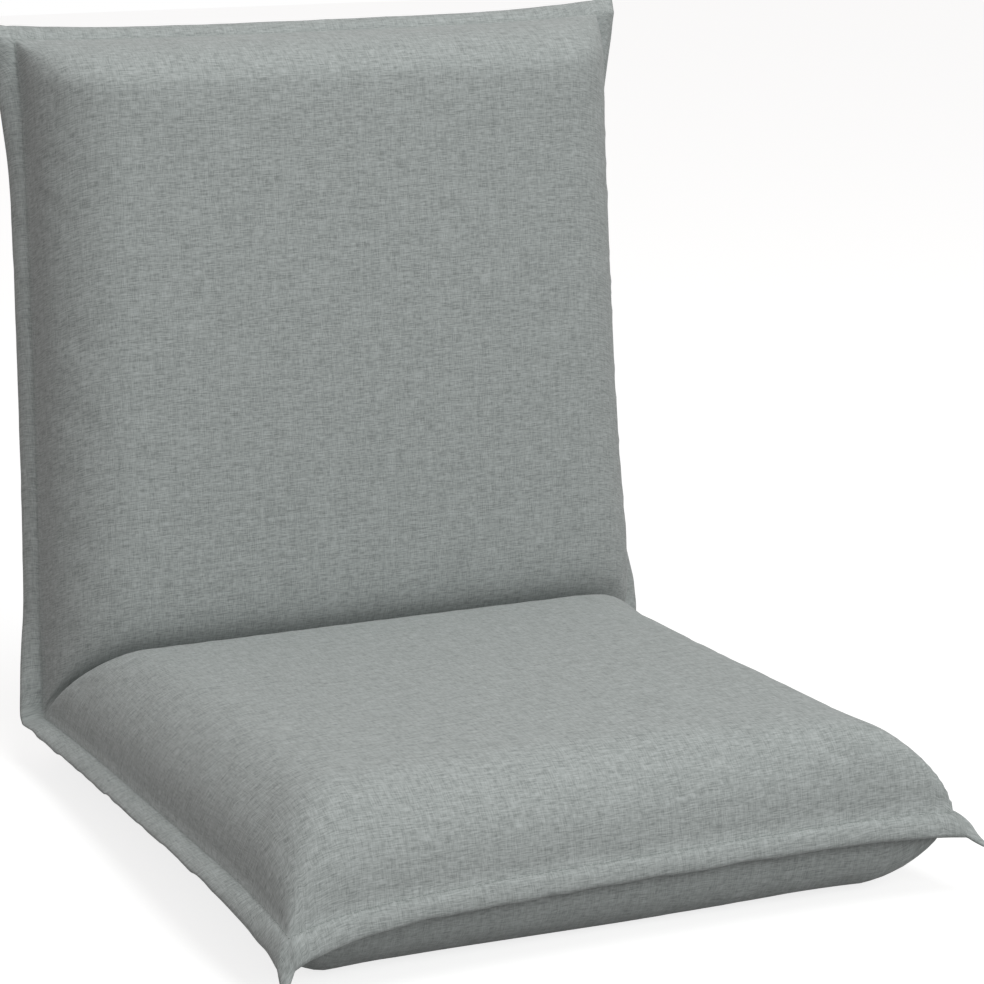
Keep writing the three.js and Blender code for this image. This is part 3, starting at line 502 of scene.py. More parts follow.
# %% Both sheets
face = np.where(
    (Q < 0)[..., None],
    face_points("seat", X, np.abs(Q)),
    face_points("back", X, np.abs(Q)),
)
at_fold = [face_points(pad, columns, np.zeros_like(columns)) for pad in ("seat", "back")]
face[fold_row] = (at_fold[0] + at_fold[1]) / 2
under = under_points(X, Q)
RIM_ROLL = 1.3 * MM


def rim_loop(row_count, column_count):
    last_row, last_column = row_count - 1, column_count - 1
    loop = [(0, c) for c in range(last_column)]
    loop += [(r, last_column) for r in range(last_row)]
    loop += [(last_row, c) for c in range(last_column, 0, -1)]
    return loop + [(r, 0) for r in range(last_row, 0, -1)]


def next_in(index, last):
    return 1 if index == 0 else (last - 1 if index == last else index)


def rim_of(face, under, loop):
    rim = []
    last_row, last_column = face.shape[0] - 1, face.shape[1] - 1
    for r, c in loop:
        inner = (next_in(r, last_row), next_in(c, last_column))
        centre = (face[r, c] + under[r, c]) / 2
        outward = centre - (face[inner] + under[inner]) / 2
        rim.append(centre + outward / np.linalg.norm(outward) * RIM_ROLL)
    rim = np.array(rim)
    rim[:, 2] = np.maximum(rim[:, 2], LOWEST / 2)
    return rim


def skin_faces(row_count, column_count, loop):
    """Quads of the closed skin: points are the face sheet, the under sheet and the rim."""
    count = row_count * column_count
    face_index = np.arange(count).reshape(row_count, column_count)
    under_index = face_index + count
    quads = []
    for index, turned in ((face_index, False), (under_index, True)):
        a, b, c, d = index[:-1, :-1], index[:-1, 1:], index[1:, 1:], index[1:, :-1]
        order = (d, c, b, a) if turned else (a, b, c, d)
        quads.append(np.stack(order, axis=-1).reshape(-1, 4))
    rim_index = 2 * count + np.arange(len(loop))
    edge_face = np.array([face_index[place] for place in loop])
    edge_under = edge_face + count
    after = np.roll(np.arange(len(loop)), -1)
    quads.append(np.stack([edge_face, rim_index, rim_index[after], edge_face[after]], axis=-1))
    quads.append(np.stack([edge_under[after], rim_index[after], rim_index, edge_under], axis=-1))
    return np.concatenate(quads)


def skin_object(name, face, under):
    loop = rim_loop(*face.shape[:2])
    points = np.concatenate([face.reshape(-1, 3), under.reshape(-1, 3), rim_of(face, under, loop)])
    quads = skin_faces(*face.shape[:2], loop)
    mesh = bpy.data.meshes.new(name)
    mesh.from_pydata(points.tolist(), [], quads.tolist())
    mesh.update()
    made = bpy.data.objects.new(name, mesh)
    scene.collection.objects.link(made)
    return made, loop, quads


# %% [markdown]
# The cloth settles. A coarser copy of the skin is held along the seams, in the crease and
# at the zip, given a little more cloth than the shape needs, and blown up gently for
# twenty steps. It comes back with soft puckers along the seams. Only the small movement
# is kept: the broad swelling stays as drawn, so the pads keep their size.

# %% Cloth settling
SETTLE_STEPS = 20
SETTLE_PRESSURE = 4
EXTRA_CLOTH = -0.012
HELD_EDGE = 17 * MM
FREE_EDGE = 30 * MM
MOST_MOVED = 2 * MM
BROAD_STEPS = 4
OPEN_SHARE = 0.15
PUCKER_REACH = 45 * MM


def held_weights(x, q):
    """1 where the cloth is sewn or tucked, falling to 0 where only filling is behind it."""
    length = np.where(q < 0, PAD_LENGTH["seat"], PAD_LENGTH["back"])
    edge = np.minimum(HALF_WIDTH - np.abs(x), length - np.abs(q))
    seam = 1 - smooth_share(edge, HELD_EDGE, FREE_EDGE)
    fold = 1 - smooth_share(np.abs(q), HELD_EDGE, FREE_EDGE)
    zip_hold = 1 - smooth_share(np.abs(q - ZIP_PLACE), CHANNEL_HALF, CHANNEL_HALF + HELD_EDGE)
    return np.maximum(seam, fold), np.maximum.reduce([seam, fold, zip_hold])


def near_seams(x, q):
    """1 beside a seam, falling to a small share over the tight open cloth."""
    length = np.where(q < 0, PAD_LENGTH["seat"], PAD_LENGTH["back"])
    edge = np.minimum(HALF_WIDTH - np.abs(x), length - np.abs(q))
    return OPEN_SHARE + (1 - OPEN_SHARE) * np.exp(-edge / PUCKER_REACH)


def blurred(field, rounds):
    for _ in range(rounds):
        for axis in (0, 1):
            padded = np.pad(field, [(1, 1) if k == axis else (0, 0) for k in range(3)], mode="edge")
            near = np.take(padded, range(0, field.shape[axis]), axis)
            far = np.take(padded, range(2, field.shape[axis] + 2), axis)
            field = (near + 2 * field + far) / 4
    return field


def settled(face, under):
    pick_rows = np.unique(np.concatenate([np.arange(0, len(rows), 2), [fold_row, len(rows) - 1]]))
    pick_columns = np.unique(np.concatenate([np.arange(0, len(columns), 2), [len(columns) - 1]]))
    grid = np.ix_(pick_rows, pick_columns)
    coarse, loop, quads = skin_object("settling_cloth", face[grid], under[grid])
    face_held, under_held = held_weights(X[grid], Q[grid])
    weights = np.concatenate([face_held.reshape(-1), under_held.reshape(-1), np.ones(len(loop))])
    held = coarse.vertex_groups.new(name="held")
    for level in np.unique(np.round(weights, 2)):
        chosen = np.flatnonzero(np.round(weights, 2) == level)
        held.add([int(i) for i in chosen], float(level), "REPLACE")
    activate(coarse)
    cloth_sim = coarse.modifiers.new("cloth", "CLOTH")
    cloth_sim.settings.quality = 5
    cloth_sim.settings.mass = 0.3
    cloth_sim.settings.tension_stiffness = 25
    cloth_sim.settings.compression_stiffness = 25
    cloth_sim.settings.shear_stiffness = 15
    cloth_sim.settings.bending_stiffness = 0.6
    cloth_sim.settings.vertex_group_mass = "held"
    cloth_sim.settings.pin_stiffness = 1
    cloth_sim.settings.shrink_min = EXTRA_CLOTH
    cloth_sim.settings.use_pressure = True
    cloth_sim.settings.uniform_pressure_force = SETTLE_PRESSURE
    cloth_sim.settings.effector_weights.gravity = 0
    cloth_sim.point_cache.frame_end = SETTLE_STEPS
    for step in range(1, SETTLE_STEPS + 1):
        scene.frame_set(step)
    moved_mesh = coarse.evaluated_get(bpy.context.evaluated_depsgraph_get()).to_mesh()
    after = np.empty(len(moved_mesh.vertices) * 3)
    moved_mesh.vertices.foreach_get("co", after)
    scene.frame_set(1)
    after = after.reshape(-1, 3)
    before = np.empty(len(coarse.data.vertices) * 3)
    coarse.data.vertices.foreach_get("co", before)
    moved = after - before.reshape(-1, 3)
    bpy.data.objects.remove(coarse, do_unlink=True)
    count = len(pick_rows) * len(pick_columns)
    results = []
    for sheet, start in ((face, 0), (under, count)):
        field = moved[start : start + count].reshape(len(pick_rows), len(pick_columns), 3)
        field = field - blurred(field, BROAD_STEPS)
        size = np.linalg.norm(field, axis=-1, keepdims=True)
        field = field * np.minimum(1, MOST_MOVED / np.maximum(size, 1e-9))
        field = field * near_seams(X[grid], Q[grid])[..., None]
        wide = [
            [np.interp(columns, columns[pick_columns], line[:, k]) for line in field]
            for k in range(3)
        ]
        wide = np.stack(wide, axis=-1)
        full = [
            [np.interp(rows, rows[pick_rows], line) for line in wide[..., k].T] for k in range(3)
        ]
        full = np.stack(full, axis=-1)
        results.append(sheet + full.transpose(1, 0, 2))
        largest, mean = float(size.max()) / MM, float(size.mean()) / MM
        print("fine movement, mm: largest", round(largest, 2), "mean", round(mean, 3))
    return results


face, under = settled(face, under)
face[..., 2] = np.maximum(face[..., 2], LOWEST)
under[..., 2] = np.maximum(under[..., 2], 0)


# %% [markdown]
# Both sheets become one closed skin. Its texture coordinates are lengths measured along
# the cloth itself, in metres, so the weave has its real size everywhere and bends with
# the pads, as cloth that was cut flat does.

# %% Cover mesh
def arc_lengths(sheet):
    """How far each point lies from the middle column and from the fold, along the cloth."""
    across = np.zeros(X.shape)
    across[:, 1:] = np.cumsum(np.linalg.norm(np.diff(sheet, axis=1), axis=-1), axis=1)
    across -= across[:, [len(columns) // 2]]
    along = np.zeros(X.shape)
    along[1:] = np.cumsum(np.linalg.norm(np.diff(sheet, axis=0), axis=-1), axis=0)
    along -= along[[fold_row]]
    return np.stack([across, along], axis=-1)


cover, loop, quads = skin_object("cover", face, under)
face_uv = arc_lengths(face)
under_uv = arc_lengths(under) + np.array([1.2, 0])
rim_uv = np.array([face_uv[place] for place in loop]) * 1.004
point_uv = np.concatenate([face_uv.reshape(-1, 2), under_uv.reshape(-1, 2), rim_uv])
uv_layer = cover.data.uv_layers.new(name="weave")
corner_points = np.empty(len(cover.data.loops), dtype=np.int32)
cover.data.loops.foreach_get("vertex_index", corner_points)
uv_layer.data.foreach_set("uv", point_uv[corner_points].astype(np.float32).reshape(-1))
activate(cover)
bpy.ops.object.mode_set(mode="EDIT")
bpy.ops.mesh.select_all(action="SELECT")
bpy.ops.mesh.normals_make_consistent(inside=False)
bpy.ops.object.mode_set(mode="OBJECT")
bpy.ops.object.shade_smooth()
print("cover:", len(cover.data.vertices), "points,", 2 * len(quads), "triangles")

# %% [markdown]
# The cloth is a plain woven polyester made to look like linen. Its yarns are spun uneven,
# some light and some dark, so the eye sees fine crossed streaks and hardly any pattern.
# Each yarn is about 0.85 mm wide, drawn a little coarser than the real cloth's so that it
# still shows at the size of the render.

# %% Woven polyester
YARN = 0.85 * MM
SLUB = 8 * MM
cloth, tree, shader = new_material("woven_linen_look_polyester")
place = add_node(tree, "ShaderNodeUVMap", uv_map="weave")


def streaks(scale_u, scale_v, detail, offset):
    """Long soft streaks of light and dark: one yarn wide and many long."""
    mapping = add_node(
        tree,
        "ShaderNodeMapping",
        {"Vector": place.outputs[0], "Location": (offset, offset, 0), "Scale": (1 / scale_u, 1 / scale_v, 1)},
    )
    made = add_node(
        tree,
        "ShaderNodeTexNoise",
        {"Vector": mapping.outputs[0], "Scale": 1.0, "Detail": detail, "Roughness": 0.7},
        noise_dimensions="2D",
    )
    return made.outputs["Fac"]


def weighed(first, share, second):
    values = {0: first, 1: share, 2: second}
    return add_node(tree, "ShaderNodeMath", values, operation="MULTIPLY_ADD").outputs[0]


warp = streaks(YARN, SLUB * 0.8, 1.0, 3.1)
weft = streaks(SLUB, YARN, 1.0, 7.7)
coarse_weft = streaks(34 * MM, 2.6 * MM, 0.0, 5.3)
coarse_warp = streaks(2.6 * MM, 28 * MM, 0.0, 9.1)
tone = weighed(coarse_weft, 0.14, weighed(coarse_warp, 0.12, -0.08))
tone = weighed(warp, 0.38, weighed(weft, 0.56, tone))
ramp = add_node(tree, "ShaderNodeValToRGB", {"Fac": tone})
ramp.color_ramp.elements[0].position = 0.30
ramp.color_ramp.elements[0].color = linear("#868B8A")
ramp.color_ramp.elements[1].position = 0.70
ramp.color_ramp.elements[1].color = linear("#B2B7B7")
tree.links.new(ramp.outputs["Color"], shader.inputs["Base Color"])
bump = add_node(tree, "ShaderNodeBump", {"Height": tone, "Strength": 0.3, "Distance": 0.8 * MM})
tree.links.new(bump.outputs[0], shader.inputs["Normal"])
shader.inputs["Roughness"].default_value = 0.92
shader.inputs["Specular IOR Level"].default_value = 0.2
shader.inputs["Sheen Weight"].default_value = 0.15
shader.inputs["Sheen Roughness"].default_value = 0.5
cover.data.materials.append(cloth)

# %% [markdown]
# The seam that joins both sheets is a row of stitches right through the flange, so it
# shows above and below. One short thread is made once, and laid along the groove.

# %% Stitches
STITCH_PITCH = 4.6 * MM
STITCH_LENGTH = 3.3 * MM
STITCH_RADIUS = 0.42 * MM
STITCH_SIDES = 6
TAPE_SEAM = 5.6 * MM
STITCH_RINGS = np.array([0, 0.12, 0.5, 0.88, 1])
STITCH_SWELL = np.array([0.25, 0.8, 1.0, 0.8, 0.25])
groove_index = int(np.flatnonzero(np.isclose(EDGE_STEPS, GROOVE_STEP * MM))[0])


def groove_lines(sheet):
    """The groove on one sheet: from the hinge up one side, round the free end and back."""
    lines = []
    left, right = groove_index, len(columns) - 1 - groove_index
    low, high = groove_index, len(rows) - 1 - groove_index
    for start, end in ((fold_row, low), (fold_row, high)):
        step = -1 if end < start else 1
        up_side = sheet[start : end + step : step, left] if end + step >= 0 else sheet[start::-1, left]
        along_end = sheet[end, left + 1 : right]
        down_side = sheet[end : start - step : -step, right] if step > 0 else sheet[end : start + 1, right]
        lines.append(np.concatenate([up_side, along_end, down_side]))
    return lines


def stitch_row(line, outward, vertices, quads):
    length = np.concatenate([[0], np.cumsum(np.linalg.norm(np.diff(line, axis=0), axis=-1))])
    for start in np.arange(STITCH_PITCH, length[-1] - STITCH_PITCH, STITCH_PITCH):
        places = start + STITCH_RINGS * STITCH_LENGTH
        centres = np.stack([np.interp(places, length, line[:, k]) for k in range(3)], axis=-1)
        normal = np.array([np.interp(start, length, outward[:, k]) for k in range(3)])
        heading = centres[-1] - centres[0]
        heading /= np.linalg.norm(heading)
        across = np.cross(heading, normal)
        across /= np.linalg.norm(across)
        lifted = np.cross(across, heading)
        first = len(vertices)
        for centre, swelling in zip(centres, STITCH_SWELL):
            for side in range(STITCH_SIDES):
                turn = 2 * math.pi * side / STITCH_SIDES
                ring = across * math.cos(turn) + lifted * (math.sin(turn) * 0.7)
                vertices.append(centre + (ring + lifted * 0.25) * STITCH_RADIUS * swelling)
        for ring in range(len(STITCH_RINGS) - 1):
            for side in range(STITCH_SIDES):
                a = first + ring * STITCH_SIDES + side
                b = first + ring * STITCH_SIDES + (side + 1) % STITCH_SIDES
                quads.append([a, b, b + STITCH_SIDES, a + STITCH_SIDES])
        last = first + (len(STITCH_RINGS) - 1) * STITCH_SIDES
        quads.append([first + side for side in range(STITCH_SIDES)][::-1])
        quads.append([last + side for side in range(STITCH_SIDES)])


vertices, stitch_quads = [], []
for sheet, other in ((face, under), (under, face)):
    for line, opposite in zip(groove_lines(sheet), groove_lines(other)):
        outward = line - opposite
        outward = outward / np.linalg.norm(outward, axis=-1, keepdims=True)
        stitch_row(line, outward, vertices, stitch_quads)
zip_line = np.linspace(-150, 150, 61) * MM
tape_level = np.full(zip_line.shape, -(UNDER_DEPTH - CHANNEL_DEPTH) - 1.0 * MM)
for side in (-TAPE_SEAM, TAPE_SEAM):
    line = to_world("back", zip_line, np.full(zip_line.shape, ZIP_PLACE + side), tape_level)
    outward = np.tile([0, -THROUGH["back"][0], -THROUGH["back"][1]], (61, 1))
    stitch_row(line, outward, vertices, stitch_quads)
mesh = bpy.data.meshes.new("seam_stitches")
mesh.from_pydata([tuple(v) for v in vertices], [], stitch_quads)
mesh.update()
stitches = bpy.data.objects.new("seam_stitches", mesh)
scene.collection.objects.link(stitches)
activate(stitches)
bpy.ops.object.mode_set(mode="EDIT")
bpy.ops.mesh.select_all(action="SELECT")
bpy.ops.mesh.normals_make_consistent(inside=False)
bpy.ops.object.mode_set(mode="OBJECT")
bpy.ops.object.shade_smooth()
thread, tree, shader = new_material("polyester_sewing_thread")
place = add_node(tree, "ShaderNodeTexCoord")
twist = add_node(
    tree,
    "ShaderNodeTexNoise",
    {"Vector": place.outputs["Object"], "Scale": 900.0, "Detail": 1.0},
)
ramp = add_node(tree, "ShaderNodeValToRGB", {"Fac": twist.outputs["Fac"]})
ramp.color_ramp.elements[0].color = linear("#7B8280")
ramp.color_ramp.elements[1].color = linear("#A4ABA9")
tree.links.new(ramp.outputs["Color"], shader.inputs["Base Color"])
shader.inputs["Roughness"].default_value = 0.6
stitches.data.materials.append(thread)
print("stitches:", len(stitch_quads), "faces")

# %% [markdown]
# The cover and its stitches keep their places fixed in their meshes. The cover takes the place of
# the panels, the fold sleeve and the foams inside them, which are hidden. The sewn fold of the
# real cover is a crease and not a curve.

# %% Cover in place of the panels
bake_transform(cover)
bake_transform(stitches)
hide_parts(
    "seat_face_panel",
    "seat_underside_panel",
    "back_face_panel",
    "back_rear_panel",
    "fold_sleeve",
    "seat_foam_upper",
    "seat_foam_lower",
    "back_foam_front",
    "back_foam_rear",
)

# %% [markdown]
# The zip lies in a shallow channel low on the rear, so that the cover can come off for
# washing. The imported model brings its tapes, stops and the outline of the coil. A real coil
# is one nylon thread wound into two spirals that hook into each other. One turn is made
# from a ring, drawn out sideways, and copied along the whole zip with an Array modifier,
# because the eye reads the many small bars and never one of them alone.

# %% Place on the rear of the back
REAR = -(UNDER_DEPTH - CHANNEL_DEPTH) - 0.3 * MM
ZIP_HALF = 150 * MM
COIL_THICKNESS = 1.6 * MM


def set_on_back(obj, level):
    """Turns and moves a piece drawn flat on the floor onto the back's rear, then fixes its
    place in its mesh. Its own z points outwards, its own x to the sitter's right."""
    (up_y, up_z), (in_y, in_z) = ALONG["back"], THROUGH["back"]
    y = HINGE_Y + ZIP_PLACE * up_y + (REAR - level) * in_y
    z = HINGE_Z + ZIP_PLACE * up_z + (REAR - level) * in_z
    obj.matrix_world = Matrix(((-1, 0, 0, 0), (0, up_y, -in_y, y), (0, up_z, -in_z, z), (0, 0, 0, 1)))
    activate(obj)
    bpy.ops.object.transform_apply(location=True, rotation=True, scale=True)


def choose(obj, wanted):
    """Selects the vertices whose place passes the test, in edit mode."""
    bpy.ops.object.mode_set(mode="EDIT")
    bpy.ops.mesh.select_mode(type="VERT")
    bpy.ops.mesh.select_all(action="DESELECT")
    bpy.ops.object.mode_set(mode="OBJECT")
    for vertex in obj.data.vertices:
        vertex.select = bool(wanted(vertex.co))
    bpy.ops.object.mode_set(mode="EDIT")


# %% Zip coil
COIL_PITCH = 1.5 * MM
COIL_THREAD = 0.34 * MM
COIL_REACH = 0.9 * MM
deselect_all()
bpy.ops.mesh.primitive_torus_add(
    major_radius=COIL_THICKNESS / 2 - COIL_THREAD,
    minor_radius=COIL_THREAD,
    major_segments=10,
    minor_segments=5,
    location=(0, 0, COIL_THICKNESS / 2),
    rotation=(0, math.pi / 2, 0),
)
coil = bpy.context.object
coil.name = "zip_coil_turns"
bpy.ops.object.transform_apply(location=True, rotation=True, scale=True)
choose(coil, lambda place: place.y > 0)
bpy.ops.transform.translate(value=(COIL_PITCH / 10, COIL_REACH, 0))
choose(coil, lambda place: place.y < COIL_REACH / 2)
bpy.ops.transform.translate(value=(0, -0.4 * MM, 0))
bpy.ops.mesh.select_all(action="SELECT")
bpy.ops.mesh.duplicate()
bpy.ops.transform.rotate(value=math.pi, orient_axis="Z", center_override=(COIL_PITCH / 4, 0, 0))
bpy.ops.mesh.select_all(action="SELECT")
bpy.ops.transform.translate(value=(COIL_PITCH / 2 - ZIP_HALF, 0, 0))
bpy.ops.object.mode_set(mode="OBJECT")
turns = coil.modifiers.new("turns", "ARRAY")
turns.count = int(2 * ZIP_HALF / COIL_PITCH) - 1
turns.use_relative_offset = False
turns.use_constant_offset = True
turns.constant_offset_displace = (COIL_PITCH, 0, 0)
activate(coil)
bpy.ops.object.modifier_apply(modifier="turns")
bpy.ops.object.shade_smooth()
set_on_back(coil, 0)
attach(coil, "back")
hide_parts("zip_coil")
coil_box = [round(value, 4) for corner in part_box("zip_coil") for value in corner]
print("zip coil:", len(coil.data.polygons), "faces, box", coil_box)

# %% [markdown]
# The slider is a small die-cast plate with a wedge-shaped nose and an arch on top, and the
# pull hangs by its eye in that arch. Both start from a block, which is tapered and rounded
# with bevels, as the casting is, and the pull is also given a sunk face with an inset. The
# arch and the eye are rings. The slider runs along the zip, and the pull swings on the slider.

# %% Zip slider
SLIDER_PLACE = ZIP_HALF - 6 * MM - 0.3 * MM
SLIDER_TOP = 3.5 * MM
CROWN_AXIS = SLIDER_TOP + 1.08 * MM


def new_block(name, size, place):
    deselect_all()
    bpy.ops.mesh.primitive_cube_add(size=1, location=place)
    made = bpy.context.object
    made.name = name
    made.scale = size
    bpy.ops.object.transform_apply(location=True, rotation=True, scale=True)
    return made


def sink_top(obj, rim, depth):
    """A sunk field in the top face, with a rim left round it."""
    bpy.ops.object.mode_set(mode="EDIT")
    bpy.ops.mesh.select_mode(type="FACE")
    bpy.ops.mesh.select_all(action="DESELECT")
    bpy.ops.object.mode_set(mode="OBJECT")
    top = max(obj.data.polygons, key=lambda polygon: polygon.center.z)
    top.select = True
    bpy.ops.object.mode_set(mode="EDIT")
    bpy.ops.mesh.inset(thickness=rim, depth=0)
    bpy.ops.transform.translate(value=(0, 0, -depth))
    bpy.ops.object.mode_set(mode="OBJECT")


def round_edges(obj, width, steps):
    bevel = obj.modifiers.new("round", "BEVEL")
    bevel.width = width
    bevel.segments = steps
    bevel.limit_method = "ANGLE"
    bevel.angle_limit = math.radians(35)
    activate(obj)
    bpy.ops.object.modifier_apply(modifier="round")


def add_ring(radius, thread, place, upright):
    turned = (math.pi / 2, 0, 0) if upright else (0, 0, 0)
    bpy.ops.mesh.primitive_torus_add(
        major_radius=radius,
        minor_radius=thread,
        major_segments=28,
        minor_segments=10,
        location=place,
        rotation=turned,
    )
    bpy.ops.object.transform_apply(location=True, rotation=True, scale=True)
    return bpy.context.object


def join_to(obj, *others):
    deselect_all()
    for other in others:
        other.select_set(True)
    obj.select_set(True)
    bpy.context.view_layer.objects.active = obj
    bpy.ops.object.join()


slider = new_block("zip_slider_body", (12 * MM, 8 * MM, 1.6 * MM), (-SLIDER_PLACE, 0, SLIDER_TOP - 0.8 * MM))
choose(slider, lambda place: place.x > -SLIDER_PLACE)
bpy.ops.transform.resize(value=(1, 0.55, 1))
bpy.ops.mesh.select_all(action="SELECT")
bpy.ops.mesh.subdivide(number_cuts=1)
choose(slider, lambda place: abs(place.x + SLIDER_PLACE) < MM)
bpy.ops.transform.resize(value=(1, 1.18, 1))
choose(slider, lambda place: place.z < SLIDER_TOP - 1.2 * MM)
bpy.ops.transform.resize(value=(0.94, 0.9, 1))
bpy.ops.object.mode_set(mode="OBJECT")
round_edges(slider, 0.45 * MM, 3)
crown = add_ring(1.53 * MM, 0.45 * MM, (-SLIDER_PLACE, 0, CROWN_AXIS), True)
join_to(slider, crown)
bpy.ops.object.shade_smooth_by_angle(angle=math.radians(40))
set_on_back(slider, 0)
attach(slider, "zip_slider")
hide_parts("zip_slider")
print("zip slider:", len(slider.data.polygons), "faces")

# %% Zip pull
EYE_PLACE = -SLIDER_PLACE + 2.1 * MM
TAB_START, TAB_LENGTH = 1.9 * MM, 19.5 * MM
pull = new_block(
    "zip_pull_tab",
    (TAB_LENGTH, 5.0 * MM, 1.1 * MM),
    (EYE_PLACE + TAB_START + TAB_LENGTH / 2, 0, CROWN_AXIS),
)
choose(pull, lambda place: place.x < EYE_PLACE + TAB_START + MM)
bpy.ops.transform.resize(value=(1, 0.62, 1))
bpy.ops.object.mode_set(mode="OBJECT")
deselect_all()
activate(pull)
bpy.ops.object.mode_set(mode="EDIT")
bpy.ops.mesh.select_mode(type="EDGE")
bpy.ops.mesh.select_all(action="DESELECT")
bpy.ops.object.mode_set(mode="OBJECT")
for edge in pull.data.edges:
    ends = [pull.data.vertices[index].co for index in edge.vertices]
    upright_edge = abs(ends[0].x - ends[1].x) < MM and abs(ends[0].y - ends[1].y) < 0.1 * MM
    edge.select = upright_edge and ends[0].x > EYE_PLACE + TAB_LENGTH / 2
bpy.ops.object.mode_set(mode="EDIT")
bpy.ops.mesh.bevel(offset=2.0 * MM, segments=6, affect="EDGES")
bpy.ops.object.mode_set(mode="OBJECT")
sink_top(pull, 0.9 * MM, 0.3 * MM)
round_edges(pull, 0.22 * MM, 2)
eye = add_ring(2.1 * MM, 0.5 * MM, (EYE_PLACE, 0, CROWN_AXIS), False)
join_to(pull, eye)
bpy.ops.object.shade_smooth_by_angle(angle=math.radians(40))
set_on_back(pull, 0)
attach(pull, "zip_pull")
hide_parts("zip_pull")
print("zip pull:", len(pull.data.polygons), "faces")

# %% [markdown]
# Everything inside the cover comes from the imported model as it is, and only needs its
# finish. Powder coat is dark and dull with rubbed edges. Zinc plate is bright with a
# slightly cloudy grain, and nickel is warmer and smoother. Woven bands show their ribs,
# drawn nylon has a soft even shine, and cut foam is pale, open and quite dull.

# %% Materials of the carried-over parts
def object_noise(tree, scale, detail):
    """Soft noise fixed to the object, so it stays put when the piece moves."""
    place = add_node(tree, "ShaderNodeTexCoord")
    links = {"Vector": place.outputs["Object"], "Scale": scale, "Detail": detail}
    return add_node(tree, "ShaderNodeTexNoise", links).outputs["Fac"]


def worn_metal(name, base, worn, roughness, grain, metallic, wear_from, bump_depth):
    """A coated or plated steel: fine grain in its gloss, and its edges a little lighter."""
    material, tree, shader = new_material(name)
    fine = object_noise(tree, 1 / grain, 3.0)
    broad = object_noise(tree, 1 / (40 * grain), 2.0)
    geometry = add_node(tree, "ShaderNodeNewGeometry")
    edge = add_node(
        tree,
        "ShaderNodeMapRange",
        {"Value": geometry.outputs["Pointiness"], "From Min": wear_from, "From Max": wear_from + 0.08},
    )
    patchy = add_node(tree, "ShaderNodeMath", {0: edge.outputs[0], 1: broad}, operation="MULTIPLY")
    tint = add_node(tree, "ShaderNodeMix", {"Factor": patchy.outputs[0]}, data_type="RGBA")
    tint.inputs[6].default_value = linear(base)
    tint.inputs[7].default_value = linear(worn)
    tree.links.new(tint.outputs[2], shader.inputs["Base Color"])
    gloss = add_node(
        tree,
        "ShaderNodeMapRange",
        {"Value": fine, "To Min": roughness - 0.08, "To Max": roughness + 0.08},
    )
    tree.links.new(gloss.outputs[0], shader.inputs["Roughness"])
    relief = add_node(
        tree, "ShaderNodeBump", {"Height": fine, "Strength": 0.35, "Distance": bump_depth}
    )
    tree.links.new(relief.outputs[0], shader.inputs["Normal"])
    shader.inputs["Metallic"].default_value = metallic
    return material


def woven_band(name, light, dark, yarn, coarse):
    """A narrow woven band: ribs across it, each yarn a little different in tone."""
    material, tree, shader = new_material(name)
    place = add_node(tree, "ShaderNodeTexCoord")
    ribs = add_node(
        tree,
        "ShaderNodeTexWave",
        {
            "Vector": place.outputs["Object"],
            "Scale": 2 * math.pi / 20 / yarn,
            "Distortion": 0.6,
            "Detail": 1.0,
            "Detail Scale": 8.0,
        },
        bands_direction="X",
    )
    speck = object_noise(tree, 1 / yarn, 2.0)
    values = {0: ribs.outputs["Fac"], 1: coarse, 2: speck}
    mixed = add_node(tree, "ShaderNodeMath", values, operation="MULTIPLY_ADD")
    ramp = add_node(tree, "ShaderNodeValToRGB", {"Fac": mixed.outputs[0]})
    ramp.color_ramp.elements[0].position = 0.35
    ramp.color_ramp.elements[0].color = linear(dark)
    ramp.color_ramp.elements[1].position = 0.35 + 0.5 + coarse / 2
    ramp.color_ramp.elements[1].color = linear(light)
    tree.links.new(ramp.outputs["Color"], shader.inputs["Base Color"])
    relief = add_node(
        tree, "ShaderNodeBump", {"Height": mixed.outputs[0], "Strength": 0.5, "Distance": yarn / 3}
    )
    tree.links.new(relief.outputs[0], shader.inputs["Normal"])
    shader.inputs["Roughness"].default_value = 0.85
    return material


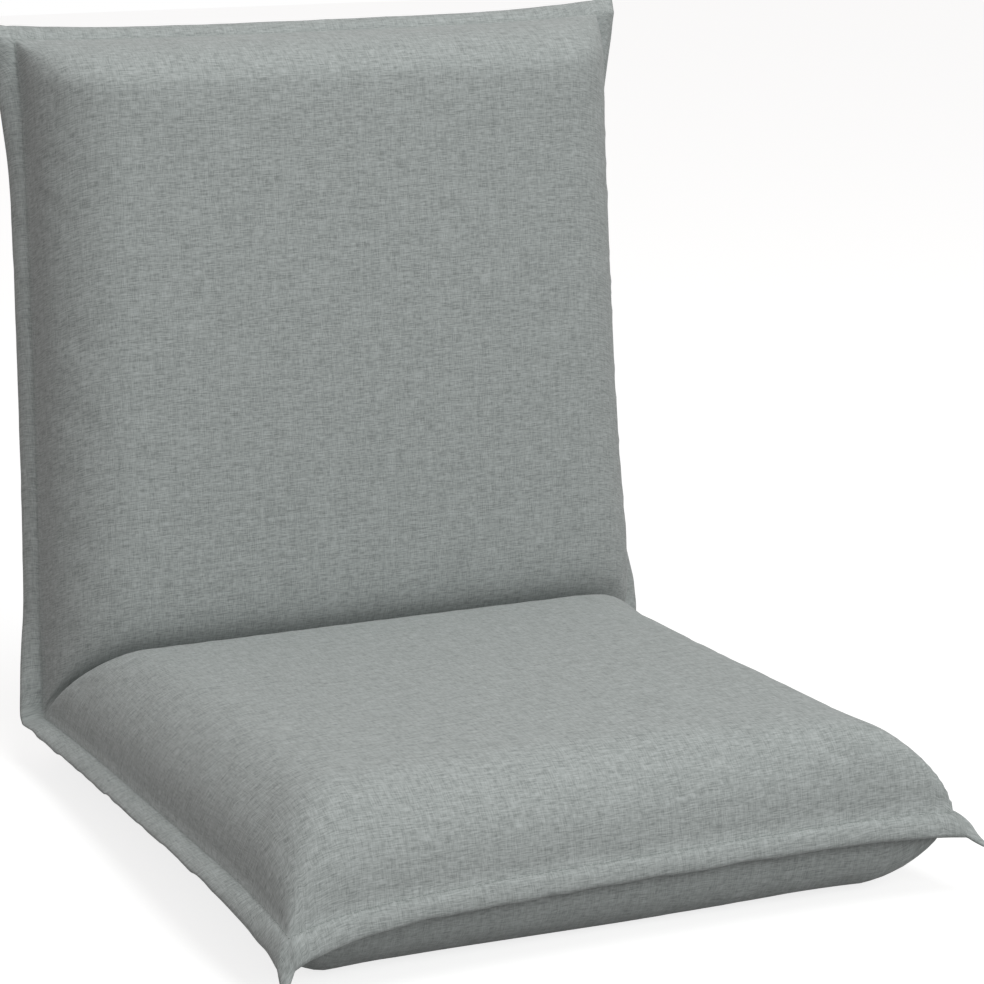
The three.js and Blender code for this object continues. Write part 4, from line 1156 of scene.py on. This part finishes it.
def moulded(name, light, dark, grain, roughness):
    """A drawn nylon or other plain plastic: even colour, faint mottle, a soft shine."""
    material, tree, shader = new_material(name)
    ramp = add_node(tree, "ShaderNodeValToRGB", {"Fac": object_noise(tree, 1 / grain, 2.0)})
    ramp.color_ramp.elements[0].position = 0.3
    ramp.color_ramp.elements[0].color = linear(dark)
    ramp.color_ramp.elements[1].position = 0.7
    ramp.color_ramp.elements[1].color = linear(light)
    tree.links.new(ramp.outputs["Color"], shader.inputs["Base Color"])
    shader.inputs["Roughness"].default_value = roughness
    return material


powder_coat = worn_metal("black_powder_coated_steel", "#26282A", "#505254", 0.5, 0.9 * MM, 0.0, 0.53, 0.06 * MM)
zinc = worn_metal("zinc_plated_steel", "#A9ACAF", "#D2D4D6", 0.38, 0.7 * MM, 1.0, 0.52, 0.03 * MM)
nickel = worn_metal("nickel_plated_zinc", "#B4B2AC", "#DCDAD4", 0.26, 0.5 * MM, 1.0, 0.52, 0.02 * MM)
elastic = woven_band("woven_elastic_webbing", "#43464B", "#26282B", 1.4 * MM, 0.6)
zip_cloth = woven_band("woven_polyester_zip_tape", "#98A09D", "#737A78", 0.8 * MM, 0.4)
nylon = moulded("nylon_zip_coil", "#8E9694", "#6F7674", 2 * MM, 0.42)
foam = moulded("cut_polyurethane_foam", "#E6DCC0", "#CDBF9C", 1.1 * MM, 0.95)
FINISHES = {
    "tube": powder_coat,
    "tube_rivet": zinc,
    "strap": elastic,
    "zip_tape": zip_cloth,
    "zip_coil": nylon,
    "zip_s": nickel,
    "zip_pull": nickel,
    "foam": foam,
    "panel": cloth,
    "sleeve": cloth,
}
for piece, finish in ((coil, nylon), (slider, nickel), (pull, nickel)):
    piece.data.materials.clear()
    piece.data.materials.append(finish)
given = {}
for name in nodes:
    finish = next((FINISHES[word] for word in sorted(FINISHES, key=len, reverse=True) if word in name), zinc)
    piece = bpy.data.objects[name]
    for place in piece.material_slots:
        place.material = finish
    given[finish.name] = given.get(finish.name, 0) + 1
print("carried-over parts by finish:", given)
